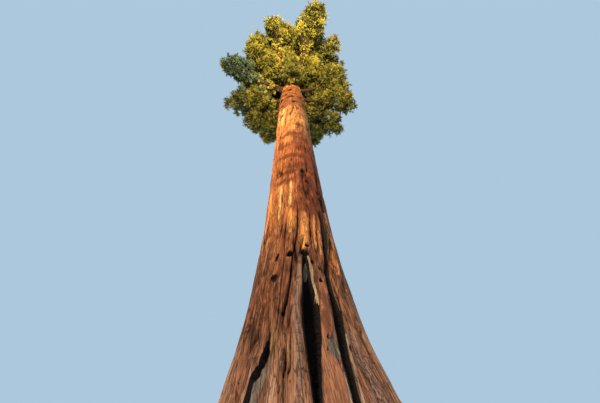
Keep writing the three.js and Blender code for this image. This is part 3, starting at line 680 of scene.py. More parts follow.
def collar_at(azimuth, z):
    """How far each place belongs to the wrinkled collar under the crown, and the wrinkles in it."""
    facing = smooth_step(*COLLAR_FACING, np.cos(np.radians(azimuth - BURNT_SIDE)))
    collar = smooth_step(COLLAR_FOOT, COLLAR_FOOT + COLLAR_START, z)
    collar *= smooth_step(COLLAR_HEAD, COLLAR_HEAD - COLLAR_END, z)
    collar *= COLLAR_BACK + (1 - COLLAR_BACK) * facing
    phase = z / COLLAR_STEP + COLLAR_WANDER * trunk_noise(azimuth, z, WANDER_NOISE)
    broken = smooth_step(*COLLAR_BREAKS, trunk_noise(azimuth, z, BREAK_NOISE))
    return collar, collar * broken * smooth_step(*COLLAR_WAVE, np.sin(2 * math.pi * phase))


def trunk_relief(azimuth, z):
    """The bark's relief outwards in metres, and what the material needs to know at each corner."""
    radius = trunk_radius(azimuth, z)
    along = azimuth + FURROW_SWAY * trunk_noise(azimuth, z, SWAY_NOISE)
    broad, narrow = furrows_at(along, z, radius)
    masks = {
        name: in_marks(marks, azimuth, z, radius, soft) for name, (marks, soft) in PLACED_MARKS.items()
    }
    crack = in_marks(CRACKS, azimuth, z, radius, CRACK_SOFT)
    deep, char = hollows_at(azimuth, z, radius)
    deep = np.maximum(deep, CRACK_DEEP * crack)
    collar, wrinkle = collar_at(azimuth, z)
    bare = np.maximum(smooth_step(*BARE_DEPTH, deep), BARE_COLLAR * collar)
    bare = np.maximum(masks["inner"], bare)
    fade = TOP_FURROW_SHARE + (1 - TOP_FURROW_SHARE) * np.exp(-z / FURROW_FADE)
    furrow = (BROAD_FURROW * broad + NARROW_FURROW * narrow) * fade * (1 - BARE_SHALLOW * bare)
    lumps = LUMP_HIGH * trunk_noise(azimuth, z, LUMP_NOISE)
    # painted shade: the deeper a furrow, the darker its bark
    dark = np.clip(FURROW_DARK[0] * broad + FURROW_DARK[1] * narrow, 0, 1) * (1 - BARE_PALE * bare)
    masks.update({
        "furrow": dark * (1 - FOOT_PALE * smooth_step(*FOOT_PALE_FROM, z)) + crack,
        "wrinkle": wrinkle,
        "collar": collar,
        "char": char,
        "stain": soot_and_shade_at(azimuth, z, radius),
        "grain": COLUMN_RADIUS * outward_at(along) + z[:, None] * UP,
    })
    return bulge_at(azimuth, z, radius) + lumps - COLLAR_RELIEF * wrinkle - furrow - deep, masks


def new_mesh(
    name, corners, faces, material_slots, slot_of_face=None, masks=None, smooth=True, closed=False
):
    """A mesh object from arrays of corners and of faces that all have as many corners."""
    mesh = bpy.data.meshes.new(name)
    sides = faces.shape[1]
    mesh.vertices.add(len(corners))
    mesh.vertices.foreach_set("co", np.asarray(corners, np.float32).ravel())
    mesh.loops.add(faces.size)
    mesh.loops.foreach_set("vertex_index", faces.astype(np.int32).ravel())
    mesh.polygons.add(len(faces))
    mesh.polygons.foreach_set("loop_start", np.arange(0, faces.size, sides, dtype=np.int32))
    for material in material_slots:
        mesh.materials.append(material)
    if slot_of_face is not None:
        mesh.polygons.foreach_set("material_index", slot_of_face.astype(np.int32))
    for mask, values in (masks or {}).items():
        kind, field = ("FLOAT_VECTOR", "vector") if values.ndim > 1 else ("FLOAT", "value")
        attribute = mesh.attributes.new(mask, kind, "POINT")
        attribute.data.foreach_set(field, values.astype(np.float32).ravel())
    mesh.update(calc_edges=True)
    mesh.polygons.foreach_set("use_smooth", np.full(len(faces), smooth))
    if closed:
        close_ends(mesh)
    piece = bpy.data.objects.new(name, mesh)
    bpy.context.scene.collection.objects.link(piece)
    return piece


def close_ends(mesh):
    """Flat ends on every open tube of a mesh."""
    shape = bmesh.new()
    shape.from_mesh(mesh)
    bmesh.ops.holes_fill(shape, edges=shape.edges, sides=0)
    shape.to_mesh(mesh)
    shape.free()


def tube_faces(sides, rings):
    """Quads between rings of corners."""
    ring, side = np.meshgrid(np.arange(rings - 1), np.arange(sides), indexing="ij")
    corner = ring * sides + side
    following = ring * sides + (side + 1) % sides
    return np.stack((corner, following, following + sides, corner + sides), -1).reshape(-1, 4)


def along_burns(azimuth, z):
    """Azimuths shifted so that the mesh's columns run along the burnt marks, not across their edges."""
    burns = sorted(BURNT_MARKS, key=lambda mark: mark[0][1])
    feet = [mark[0][1] for mark in burns]
    knots = [BURNT_SIDE - 180, *feet, BURNT_SIDE + 180]
    shifted = azimuth.copy()
    for i, mark in enumerate(burns):
        near = np.interp(azimuth, knots, np.eye(len(knots))[i + 1])
        heights, middles = np.array(mark)[:, 0], np.array(mark)[:, 1]
        shifted += near * (np.interp(z, heights, middles) - feet[i])
    return shifted


def trunk_piece(name, foot, head, grid, crowding, material):
    """A stretch of the trunk as a grid of corners, closed flat at both ends."""
    around, rows = grid
    heights = foot + (head - foot) * np.linspace(0, 1, rows) ** crowding
    azimuths = np.linspace(-180, 180, around, endpoint=False)
    azimuths = BURNT_SIDE + azimuths - np.degrees(FACING_CROWDING * np.sin(np.radians(azimuths)))
    z, azimuth = (values.ravel() for values in np.meshgrid(heights, azimuths, indexing="ij"))
    azimuth = along_burns(azimuth, z)
    relief, masks = trunk_relief(azimuth, z)
    radius = np.maximum(trunk_radius(azimuth, z) + relief, LEAST_RADIUS)
    corners = axis_at(z) + outward_at(azimuth) * radius[:, None]
    return new_mesh(name, corners, tube_faces(around, rows), [material], masks=masks, closed=True)


def placed_mass(index, name, azimuth, reach, height, radius, leaves):
    """Where a mass is, which way its stem points, and the bough that carries it, if it has one."""
    outward = outward_at(azimuth)
    centre = axis_at(height) + outward * reach
    start = axis_at(height - STEM_DROP * reach if leaves is None else leaves)
    turn = start + outward * reach * BOUGH_TURN - UP * reach * BOUGH_SAG
    way = centre - (start if leaves is None else turn)
    out = unit(way)
    entry = centre - out * min(STEM_ENTRY * radius, STEM_MOST * np.linalg.norm(way))
    if leaves is None:
        bough, stem_start, stem_root = None, start, STEM_ROOT * radius
    else:
        bough = SimpleNamespace(points=(start, turn, entry), root=BOUGH_ROOT * reach)
        stem_start, stem_root = entry, BOUGH_ROOT * BOUGH_TIP * reach
    return SimpleNamespace(
        name=name, index=index, centre=centre, outward=outward, out=out, radius=radius, bough=bough,
        stem_start=stem_start, stem_root=stem_root, cool=COOL_MASSES.get(name, 0.0),
        opens=OPEN_MASSES.get(name, CLOSED),
    )


def top_mass(index):
    centre = axis_at(HEIGHT - MASS_TALL * TOP_MASS_RADIUS)
    return SimpleNamespace(
        name="top", index=index, centre=centre, outward=outward_at(0.0), out=UP, radius=TOP_MASS_RADIUS,
        bough=None, stem_start=axis_at(TRUNK_TOP - TOP_STEM_DROP),
        stem_root=TRUNK_TOP_RADIUS * TOP_STEM_SHARE, cool=0.0, opens=CLOSED,
    )


def tier_rows(name, count, first, reach, height, radius, leaves):
    random = seeded(SEED + first)
    for i in range(count):
        azimuth = first + 360 * i / count + spread_about(random, TIER_TURN)
        shift = spread_about(random, TIER_SHIFT)
        lift = spread_about(random, TIER_SHIFT)
        yield f"{name}_{i + 1}", azimuth, reach + shift, height + lift, radius, leaves and leaves + lift


def at_share(mass, directions, shares):
    """Points at a share of the way from a mass's middle to its outline, one for each direction."""
    stretched = directions + np.outer(directions @ mass.outward, mass.outward) * (MASS_LONG - 1)
    stretched[:, 2] = directions[:, 2] * MASS_TALL
    return mass.centre + stretched * (mass.radius * np.asarray(shares))[:, None]


def depth_share(mass, points):
    """Distances from a mass's middle, as shares of the way to its outline."""
    offset = (points - mass.centre) / mass.radius
    along = offset @ mass.outward
    wide = offset @ np.cross(UP, mass.outward)
    return np.sqrt((along / MASS_LONG) ** 2 + wide**2 + (offset[:, 2] / MASS_TALL) ** 2)


def drawn_in(mass, points, margin):
    """The share to which each point's offset from the middle shrinks to stay clear of neighbours."""
    share = np.ones(len(points))
    for other in masses:
        if other is mass:
            continue
        between = other.centre - mass.centre
        apart = np.linalg.norm(between)
        room = apart * mass.radius / (mass.radius + other.radius) - MASS_GAP / 2 - margin
        towards = (points - mass.centre) @ between / apart
        share = np.where(towards > room, np.minimum(share, room / np.maximum(towards, TINY)), share)
    return share


def off_trunk(points):
    """Distances from points to the trunk's bark."""
    height = np.clip(points[:, 2], 0, TRUNK_TOP)
    away = points - axis_at(height)
    azimuth = np.degrees(np.arctan2(away[:, 1], away[:, 0]))
    return np.linalg.norm(away, axis=1) - trunk_radius(azimuth, height)


def frames_along(directions):
    """Two directions across each of the given ones."""
    steep = np.abs(directions[:, 2:]) > STEEP
    side = unit(np.cross(np.where(steep, ALONG_X, UP), directions))
    return side, np.cross(directions, side)


def across_one(direction):
    side, normal = frames_along(direction[None])
    return side[0], normal[0]


def twigs_of(mass):
    """The twigs of a mass by the rule that grows the solids, and the sprays that those twigs carry."""
    random = seeded(SEED + TWIG_STREAM * mass.index)
    phase = 2 * math.pi * next(random)
    count = math.floor(mass.radius / TWIG_SPACING + 0.5)
    side, normal = across_one(mass.out)
    twigs, sprays = [], []
    for i in range(count):
        along = 1 - (1 - BARE_BACK) * i / (count - 1)
        turn = phase + GOLDEN_TURN * i + spread_about(random, TWIG_WANDER)
        reach = TWIG_REACH + spread_about(random, TWIG_REACH_VARIATION)
        away = math.sqrt(max(1 - along * along, 0))
        share = TWIG_FIRST + (1 - TWIG_FIRST) * next(random)
        start = mass.stem_start + (mass.centre - mass.stem_start) * share
        direction = mass.out * along + (side * math.cos(turn) + normal * math.sin(turn)) * away
        end = at_share(mass, direction[None], [reach])[0]
        twigs.append((start, end))
        sprays += sprays_of(start, end, random)
    return twigs, sprays


def sprays_of(start, end, random):
    """Feet and headings of a twig's sprays: the last goes straight on, the others spread sideways."""
    direction = unit(end - start)
    roll = 2 * math.pi * next(random)
    side, normal = across_one(direction)
    sprays = []
    for j in range(SPRAYS_PER_TWIG):
        share = j / (SPRAYS_PER_TWIG - 1)
        spread = math.radians(SPRAY_SPREAD + spread_about(random, SPRAY_SPREAD_VARIATION))
        tilt = spread if share < 1 else 0
        turn = roll + math.pi * j
        sideways = side * math.cos(turn) + normal * math.sin(turn)
        heading = direction * math.cos(tilt) + sideways * math.sin(tilt)
        foot = start + (end - start) * (SPRAY_FIRST + (SPRAY_LAST - SPRAY_FIRST) * share)
        sprays.append((foot, heading))
    return sprays


def evenly_round(count, random):
    """Directions spread evenly over a ball, with a little disorder."""
    step = np.arange(count) + 0.5
    level = 1 - 2 * step / count
    turn = GOLDEN_TURN * step
    flat = np.sqrt(1 - level**2)
    directions = np.stack((flat * np.cos(turn), flat * np.sin(turn), level), 1)
    return unit(directions + random.normal(0, BUNCH_JITTER, directions.shape))


def bough_places(mass):
    """Places of small bunches close round the outer part of a mass's bough."""
    random = stream("bough", mass)
    path = curve_points(mass.bough.points, BOUGH_POINTS)
    path = path[(off_trunk(path) > BOUGH_BARE) & (depth_share(mass, path) > BOUGH_INNER)]
    if len(path) < 2:
        return path
    along = np.gradient(path, axis=0)
    steps = max(1, round(np.linalg.norm(along, axis=1).sum() / BOUGH_BUNCH_STEP))
    chosen = np.linspace(0, len(path) - 1, steps).round().astype(int)
    side, normal = frames_along(unit(along[chosen]))
    turn = GOLDEN_TURN * np.arange(steps)[:, None] + random.uniform(0, 2 * math.pi)
    return path[chosen] + BOUGH_BUNCH_OFF * (side * np.cos(turn) + normal * np.sin(turn))


def furthest_places(mass, sprays):
    """A bunch's place near the tip of each long spray of the solids, as far out as the mass reaches."""
    lengths = np.linspace(FAR_FIRST, SPRAY_LONGEST, FAR_STEPS)[:, None] * mass.radius
    for foot, heading in sprays:
        places = foot + heading * lengths
        inside = depth_share(mass, places) < 1 - SPRAY_LENGTH * FAR_ROOM / (mass.radius * FAR_STRETCH)
        if inside.any():
            yield places[inside][-1]


def bunches_of(mass, sprays):
    """Middles and headings of a mass's bunches: evenly over its outside, and along its long sprays."""
    random = stream("bunches", mass)
    area = 4 * math.pi * mass.radius**2 * (MASS_TALL * MASS_LONG) ** (2 / 3)
    directions = evenly_round(round(area / BUNCH_SPACING**2), random)
    lumps = noise_at(directions * BUNCH_LUMP + mass.index * LUMP_START)
    shares = 1 - SPRAY_LENGTH / (mass.radius * BUNCH_STRETCH)
    shares = shares - BUNCH_DEPTH * (LUMP_SET_IN - lumps * LUMP_SWELL)
    shares -= random.uniform(0, BUNCH_SCATTER, len(shares))
    middles = at_share(mass, directions, shares)
    middles = np.concatenate((middles, np.array(list(furthest_places(mass, sprays)))))
    kept_share = drawn_in(mass, middles, BUNCH_OFF_PLANE)
    middles = mass.centre + (middles - mass.centre) * kept_share[:, None]
    hidden = (kept_share < INNER_SHARE) & (random.uniform(0, 1, len(middles)) > INNER_KEPT)
    kept = (kept_share > LEAST_SHARE) & ~hidden & (off_trunk(middles) > BUNCH_OFF_TRUNK)
    kept &= noise_at(middles * OPEN_SCALE) > mass.opens
    middles = middles[kept]
    if mass.bough:
        middles = np.concatenate((middles, bough_places(mass)))
    turned = unit(middles - mass.centre) + UP * BUNCH_LIFT
    return middles, unit(turned + random.normal(0, BUNCH_TURN_VARIATION, middles.shape))


def cord_blade(foot, heading, length, half, spin):
    """Four corners of a cord, folded along its middle: its foot, its two flanks and its tip."""
    side, normal = across_one(heading)
    flank = (side * math.cos(spin) + normal * math.sin(spin)) * half
    lifted = foot + heading * length * CORD_BELLY + np.cross(heading, flank) * CORD_FOLD
    return [foot, lifted - flank, lifted + flank, foot + heading * length]


def spray_shape(random, side_cords, half):
    """Corners and faces of one spray, one long along +Z, and which faces belong to its outer cords."""
    corners = cord_blade(np.zeros(3), UP, 1.0, half, random.uniform(0, math.pi))
    outer = [False]
    for i in range(side_cords):
        share = CORD_FIRST + CORD_STRETCH * (i + random.uniform(-CORD_SHIFT, CORD_SHIFT)) / side_cords
        turn = GOLDEN_TURN * i + random.uniform(-CORD_TWIST, CORD_TWIST)
        tilt = math.radians(random.uniform(*CORD_TILTS))
        out = math.sin(tilt)
        heading = np.array([math.cos(turn) * out, math.sin(turn) * out, math.cos(tilt)])
        length = (CORD_LONGEST - CORD_SHORTENING * share) * random.uniform(*CORD_LENGTHS)
        corners += cord_blade(UP * share, heading, length, half, random.uniform(0, math.pi))
        outer.append(share > CORD_OUTER)
    first = 4 * np.arange(side_cords + 1)[:, None, None]
    faces = (np.array([[0, 1, 3], [0, 3, 2]]) + first).reshape(-1, 3)
    return np.array(corners), faces, np.repeat(outer, 2)


def sprays_at(mass, middles, headings):
    """Feet, headings and lengths of the sprays of a mass's bunches, and how light each one is."""
    count = SPRAYS_PER_BUNCH
    random = stream("sprays", mass)
    step = (np.arange(count) + 0.5) / count
    lean = np.arccos(1 - (1 - math.cos(math.radians(BUNCH_CAP))) * step)
    turn = GOLDEN_TURN * np.arange(count)[None] + random.uniform(0, 2 * math.pi, (len(middles), 1))
    side, normal = frames_along(headings)
    across = side[:, None] * np.cos(turn)[..., None] + normal[:, None] * np.sin(turn)[..., None]
    directions = headings[:, None] * np.cos(lean)[None, :, None] + across * np.sin(lean)[None, :, None]
    directions = unit(directions + random.normal(0, SPRAY_DISORDER, directions.shape))
    feet = middles[:, None] + directions * SPRAY_FOOT
    feet = feet + random.normal(0, SPRAY_FOOT_VARIATION, directions.shape)
    lengths = SPRAY_LENGTH * random.uniform(*SPRAY_LENGTHS, directions.shape[:2])
    lengths = lengths * (1 - SPRAY_SHORTENING * step)[None]
    bunch_light = random.normal(0, BUNCH_LIGHT_VARIATION, (len(middles), 1))
    # painted light: sprays that point up are paler
    light = UPPER_LIGHT * directions[..., 2] + bunch_light
    light = light + random.normal(0, SPRAY_LIGHT_VARIATION, directions.shape[:2])
    return feet.reshape(-1, 3), directions.reshape(-1, 3), lengths.ravel(), light.ravel()


def shade_sprays(mass):
    """The sprays deep inside a mass, pointing outwards from its stem, all dark as painted shade."""
    random = stream("shade", mass)
    count = round(SHADE_PER_AREA * mass.radius**2)
    directions = evenly_round(count, random)
    feet = at_share(mass, directions, random.uniform(*SHADE_SHARES, count))
    share = drawn_in(mass, feet, BUNCH_OFF_PLANE + SHADE_OFF_PLANE)
    feet = mass.centre + (feet - mass.centre) * share[:, None]
    headings = unit(directions + random.normal(0, SHADE_DISORDER, directions.shape))
    lengths = SHADE_LENGTH * random.uniform(*SHADE_LENGTHS, count)
    tips = feet + headings * lengths[:, None]
    kept = (share > SHADE_LEAST_SHARE) & (depth_share(mass, tips) < SHADE_REACH)
    kept &= (off_trunk(feet) > SHADE_OFF_TRUNK) & (off_trunk(tips) > SHADE_OFF_TRUNK)
    kept &= noise_at(feet * OPEN_SCALE) > mass.opens
    light = SHADE_LIGHT + SHADE_LIGHT_SLOPE * (depth_share(mass, feet) - SHADE_LIGHT_MIDDLE)
    light = light + random.normal(0, SHADE_LIGHT_VARIATION, count)
    return feet[kept], headings[kept], lengths[kept], light[kept]


def tone_slots(mass, feet, light):
    """Which leaf colour each spray takes: paler outside and above as painted light, darker deep inside
    as painted shade, and bluer in the shaded masses as painted shade.
    """
    level = np.digitize(light + OUTER_LIGHT * (depth_share(mass, feet) - OUTER_FROM), LEAF_STEPS)
    cool = (noise_at(feet * COOL_SCALE) > COOL_RARITY - mass.cool) & (level < len(LEAF_STEPS))
    slots = np.where(cool, len(LEAF_TONES) + (level > COOL_DEEP_LEVEL), level)
    dry = (noise_at(feet * DRY_SCALE + DRY_START) > DRY_RARITY) & (level == DRY_LEVEL)
    return np.where(dry, len(LEAF_TONES) + len(COOL_LEAF_TONES), slots)


def joined_sprays(shapes, feet, directions, lengths, slots, random):
    """Corners, faces and colour slots of many sprays, each one of a few shapes turned its own way."""
    shape_of = random.integers(0, len(shapes), len(feet))
    spin = random.uniform(0, 2 * math.pi, len(feet))
    side, normal = frames_along(directions)
    across = side * np.cos(spin)[:, None] + normal * np.sin(spin)[:, None]
    frames = np.stack((across, np.cross(directions, across), directions), axis=1)
    frames = frames * lengths[:, None, None]
    corners, faces, slot_of_face, first = [], [], [], 0
    for shape, (spray_corners, spray_faces, outer) in enumerate(shapes):
        chosen = shape_of == shape
        count = int(chosen.sum())
        placed = spray_corners @ frames[chosen] + feet[chosen][:, None]
        corners.append(placed.reshape(-1, 3))
        starts = first + np.arange(count)[:, None, None] * len(spray_corners)
        faces.append((spray_faces[None] + starts).reshape(-1, 3))
        # painted highlight: the outer cords of a green spray take the next paler tone
        greens = slots[chosen][:, None] < len(LEAF_TONES) - 1
        slot_of_face.append((slots[chosen][:, None] + (outer[None] & greens)).ravel())
        first += count * len(spray_corners)
    return np.concatenate(corners), np.concatenate(faces), np.concatenate(slot_of_face)


def foliage_piece(mass, middles, headings):
    """The sprays of a mass: the bunches over its outside, and the darker sprays inside them."""
    random = stream("turns", mass)
    parts = []
    kinds = ((spray_shapes, sprays_at(mass, middles, headings)), (shade_shapes, shade_sprays(mass)))
    for shapes, (feet, directions, lengths, light) in kinds:
        slots = tone_slots(mass, feet, light)
        parts.append(joined_sprays(shapes, feet, directions, lengths, slots, random))
    corners = np.concatenate([part[0] for part in parts])
    faces = np.concatenate((parts[0][1], parts[1][1] + len(parts[0][0])))
    slot_of_face = np.concatenate([part[2] for part in parts])
    return new_mesh(f"sprays_{mass.name}", corners, faces, leaf_materials, slot_of_face, smooth=False)


def curve_points(points, count):
    """Evenly stepped points on the curve between two ends, bent by the point given between them."""
    t = np.linspace(0, 1, count)[:, None]
    start, turn, end = points
    return start * (1 - t) ** 2 + turn * 2 * t * (1 - t) + end * t**2


def limb_corners(path, radii, sides, ridges=0.0):
    """Rings of corners round a path, roughened by ridges, and where the bark's grain lies at each."""
    directions = unit(np.gradient(path, axis=0))
    side, normal = frames_along(directions)
    turn = 2 * math.pi * np.arange(sides) / sides
    ring = side[:, None] * np.cos(turn)[None, :, None] + normal[:, None] * np.sin(turn)[None, :, None]
    size = np.repeat(radii[:, None], sides, axis=1)
    if ridges:
        where = ring * RIDGES_ROUND + path[:, None] * RIDGES_ALONG
        size = size * (1 + ridges * noise_at(where.reshape(-1, 3)).reshape(size.shape))
    along = np.linalg.norm(path - path[0], axis=1)
    flat = np.stack((np.cos(turn), np.sin(turn), np.zeros(sides)), axis=1) * radii[0]
    grain = flat[None] + along[:, None, None] * UP + path[0]
    return (path[:, None] + ring * size[..., None]).reshape(-1, 3), grain.reshape(-1, 3)


def joined_limbs(name, limbs, sides, material, ridges=0.0):
    """One mesh of many limbs, each a path with its radii."""
    corners, grains, faces, first = [], [], [], 0
    for path, radii in limbs:
        limb, grain = limb_corners(path, radii, sides, ridges)
        corners.append(limb)
        grains.append(grain)
        faces.append(tube_faces(sides, len(path)) + first)
        first += len(limb)
    corners, faces = np.concatenate(corners), np.concatenate(faces)
    masks = {"grain": np.concatenate(grains)}
    return new_mesh(name, corners, faces, [material], masks=masks, closed=True)


def bough_piece(mass, material):
    """A bough from just inside the bark to its mass, with a swollen foot and ridged bark."""
    path = curve_points(mass.bough.points, BOUGH_RINGS)
    path = path[off_trunk(path) > -BOUGH_BURIED]
    share = np.linspace(0, 1, len(path))
    swell = 1 + BOUGH_SWELL * np.exp(-share / BOUGH_SWELL_REACH)
    radii = mass.bough.root * (1 + (BOUGH_TIP - 1) * share) * swell
    return joined_limbs(f"bark_bough_{mass.name}", [(path, radii)], BOUGH_SIDES, material, BOUGH_RIDGES)


def twig_limbs(mass, twigs, middles):
    """The stem of a mass, its twigs, and the fine twigs that fork off them to every bunch."""
    stem = curve_points((mass.stem_start, (mass.stem_start + mass.centre) / 2, mass.centre), STEM_RINGS)
    stem = stem[off_trunk(stem) > -STEM_BURIED]
    limbs = [(stem, np.linspace(mass.stem_root, mass.stem_root * STEM_TIP, len(stem)))]
    twig_root = mass.stem_root * TWIG_ROOT
    paths = []
    for start, end in twigs:
        bend = (start + end) / 2 - UP * TWIG_SAG * mass.radius
        path = curve_points((start, bend, end), TWIG_RINGS)
        if off_trunk(path).min() < TWIG_OFF_TRUNK:
            continue
        paths.append(path)
        limbs.append((path, np.linspace(twig_root, twig_root * TWIG_TIP, len(path))))
    fine = []
    forks = np.concatenate([path[FORKS_FROM:] for path in paths] + [stem[-STEM_FORKS:]])
    for middle in middles:
        away = middle - mass.centre
        outwards = (forks - mass.centre) @ unit(away)
        too_far_out = np.abs(outwards - FORK_OUT * np.linalg.norm(away))
        cost = np.linalg.norm(forks - middle, axis=1) + FORK_OUT_WEIGHT * too_far_out
        fork = forks[np.argmin(cost)]
        bend = (fork + middle) / 2 - UP * FINE_SAG + FINE_BULGE * unit(away)
        path = curve_points((fork, bend, middle), FINE_RINGS)
        fine.append((path, np.linspace(*FINE_RADII, FINE_RINGS)))
    return limbs, fine


def new_material(name, roughness, specular):
    material = bpy.data.materials.new(name)
    material.use_nodes = True
    shader = material.node_tree.nodes["Principled BSDF"]
    shader.inputs["Roughness"].default_value = roughness
    shader.inputs["Specular IOR Level"].default_value = specular
    return material, material.node_tree, shader


def leaf_material(name, colour):
    """Living scale leaves: waxy but fine-grained, so a soft sheen over a plain green."""
    material, _, shader = new_material(name, roughness=0.6, specular=0.3)
    shader.inputs["Base Color"].default_value = linear(colour)
    return material


def grain_noise(tree, width, draw, detail):
    """Noise that runs along the bark's grain: its width in metres, and how many times longer it is."""
    place = add_node(tree, "ShaderNodeAttribute", take="Vector", attribute_name="grain")
    scale = (1 / width, 1 / width, 1 / (width * draw))
    drawn = add_node(tree, "ShaderNodeMapping", {"Vector": place, "Scale": scale}, take="Vector")
    values = {"Vector": drawn, "Scale": 1.0, "Detail": detail, "Roughness": NOISE_ROUGHNESS}
    return add_node(tree, "ShaderNodeTexNoise", values, take="Fac")


def grain_pattern(tree, width, draw, detail, low, high):
    """Noise along the grain, stretched to go from 0 to 1 between two of its values."""
    values = {"Value": grain_noise(tree, width, draw, detail), "From Min": low, "From Max": high}
    return add_node(tree, "ShaderNodeMapRange", values, take=0)


def fine_cracks(tree, width, draw, thin):
    """Thin lines where a noise crosses its middle, broken here and there."""
    ridges = grain_noise(tree, width, draw, LINE_DETAIL)
    values = {"Value": ridges, "From Min": 0.5 - thin, "From Max": 0.5 + thin, "To Max": 2.0}
    across = add_node(tree, "ShaderNodeMapRange", values, take=0)
    line = add_node(tree, "ShaderNodeMath", {0: across, 1: 1.0}, take=0, operation="PINGPONG")
    kept = grain_pattern(tree, width * GAP_WIDTH, draw * GAP_DRAW, LINE_DETAIL, *GAP_SHARES)
    return add_node(tree, "ShaderNodeMath", {0: line, 1: kept}, take=0, operation="MULTIPLY")


def fibrous_bark(name, fibre):
    """Sequoia bark: soft, dry, fibrous and matt, cinnamon on the ridges and painted dark down in the
    furrows as their shade.
    Its fibres are about a millimetre thick, and are drawn coarser here so that they show."""
    material, tree, shader = new_material(name, roughness=0.92, specular=0.15)
    fibres = grain_pattern(tree, fibre, *FIBRES)
    strips = grain_pattern(tree, fibre * STRIP_FIBRES, *STRIPS)
    return material, tree, shader, fibres, strips


def finish_bark(tree, shader, colour, fibres, cracks, relief):
    """The bark's colour and its fine relief, with the cracks sunk in."""
    tree.links.new(colour, shader.inputs["Base Color"])
    values = {0: cracks, 1: CRACK_SINK, 2: fibres}
    height = add_node(tree, "ShaderNodeMath", values, take=0, operation="MULTIPLY_ADD")
    bump = {"Height": height, "Strength": RELIEF_STRENGTH, "Distance": relief}
    tree.links.new(add_node(tree, "ShaderNodeBump", bump, take="Normal"), shader.inputs["Normal"])


def bough_bark_material():
    """Young bark on the limbs: thinner, smoother and browner than the trunk's, and darkened as painted
    shade.
    """
    material, tree, shader, fibres, strips = fibrous_bark("bough_bark", BOUGH_FIBRE)
    cracks = fine_cracks(tree, *BOUGH_LINES)
    colour = linear(SHADED_BOUGH_TONES[0])
    for share, tone in zip((fibres, strips, cracks), SHADED_BOUGH_TONES[1:]):
        values = {0: share, 6: colour, 7: linear(tone)}
        colour = add_node(tree, "ShaderNodeMix", values, take=2, data_type="RGBA")
    finish_bark(tree, shader, colour, fibres, cracks, BOUGH_FINE_RELIEF)
    return material


def bark_places(tree, fibres):
    """What places each of the trunk's colours, its edge frayed by the fibres, and the fine cracks."""
    frayed = {0: fibres, 1: FRAY, 2: FRAY_START}
    fray = add_node(tree, "ShaderNodeMath", frayed, take=0, operation="MULTIPLY_ADD")
    marks = {
        name: add_node(tree, "ShaderNodeAttribute", take="Fac", attribute_name=name)
        for name in BARK_MARKS
    }
    grain = add_node(tree, "ShaderNodeAttribute", take="Vector", attribute_name="grain")
    place = add_node(tree, "ShaderNodeSeparateXYZ", {"Vector": grain})
    patches = grain_pattern(tree, PATCH_SIZE, *PATCHES)
    uneven = {0: patches, 1: PATCH_SHIFT, 2: place.outputs["Z"]}
    sources = {
        **marks,
        "across": place.outputs["X"],
        "up": place.outputs["Z"],
        "height": add_node(tree, "ShaderNodeMath", uneven, take=0, operation="MULTIPLY_ADD"),
        "patches": patches,
        "shadow_bands": grain_noise(tree, *SHADOW_BANDS),
    }
    places = {
        name: add_node(tree, "ShaderNodeMath", {0: source, 1: fray}, take=0, operation="ADD")
        for name, source in sources.items()
    }
    lines = 0.0
    for width, draw, thin, where in BARK_LINES:
        crack = {0: fine_cracks(tree, width, draw, thin), 1: marks.get(where, 1.0)}
        crack = add_node(tree, "ShaderNodeMath", crack, take=0, operation="MULTIPLY")
        lines = add_node(tree, "ShaderNodeMath", {0: lines, 1: crack}, take=0, operation="MAXIMUM")
    return {**places, "lines": lines}


def trunk_bark_material():
    """The old bark of the trunk, with painted light and shade: golden and paler on the lit side and
    higher up, redder and darker on the shaded side, darker and browner low down above a paler foot, and
    painted shadows of branches; with its sooty, bare and weathered places."""
    material, tree, shader, fibres, strips = fibrous_bark("furrowed_fibrous_bark", TRUNK_FIBRE)
    places = bark_places(tree, fibres)
    colour = linear(BARK_TONES["body"])
    for place, start, full, strength, tones in BARK_LAYERS:
        tones = [linear(BARK_TONES[tone]) for tone in tones.split()]
        pairs = [{0: fibres, 6: dark, 7: light} for dark, light in zip(tones[::2], tones[1::2])]
        laid = [add_node(tree, "ShaderNodeMix", pair, take=2, data_type="RGBA") for pair in pairs]
        if len(laid) > 1:
            both = {0: strips, 6: laid[0], 7: laid[1]}
            laid = [add_node(tree, "ShaderNodeMix", both, take=2, data_type="RGBA")]
        reach = {"Value": places[place], "From Min": start, "From Max": full, "To Max": strength}
        over = {0: add_node(tree, "ShaderNodeMapRange", reach, take=0), 6: colour, 7: laid[0]}
        colour = add_node(tree, "ShaderNodeMix", over, take=2, data_type="RGBA")
    finish_bark(tree, shader, colour, fibres, places["lines"], TRUNK_FINE_RELIEF)
    return material


def floor_material():
    """Matt painted studio floor: even and pale."""
    material, _, shader = new_material("studio_floor_paint", roughness=0.9, specular=0.5)
    shader.inputs["Base Color"].default_value = linear(FLOOR_COLOUR)
    return material


def soft_light(name, place, aim, strength, colour, kind, width, spread):
    """A soft disc of light, or a sun whose light comes from a wide part of the sky."""
    light = bpy.data.lights.new(name, kind)
    light.energy = strength
    light.color = linear(colour)[:3]
    if kind == "AREA":
        light.shape = "DISK"
        light.size = width
        light.spread = math.radians(spread)
    else:
        light.angle = math.radians(spread)
    lamp = bpy.data.objects.new(name, light)
    lamp.location = place
    lamp.rotation_euler = (Vector(aim) - Vector(place)).to_track_quat("-Z", "Y").to_euler()
    bpy.context.scene.collection.objects.link(lamp)


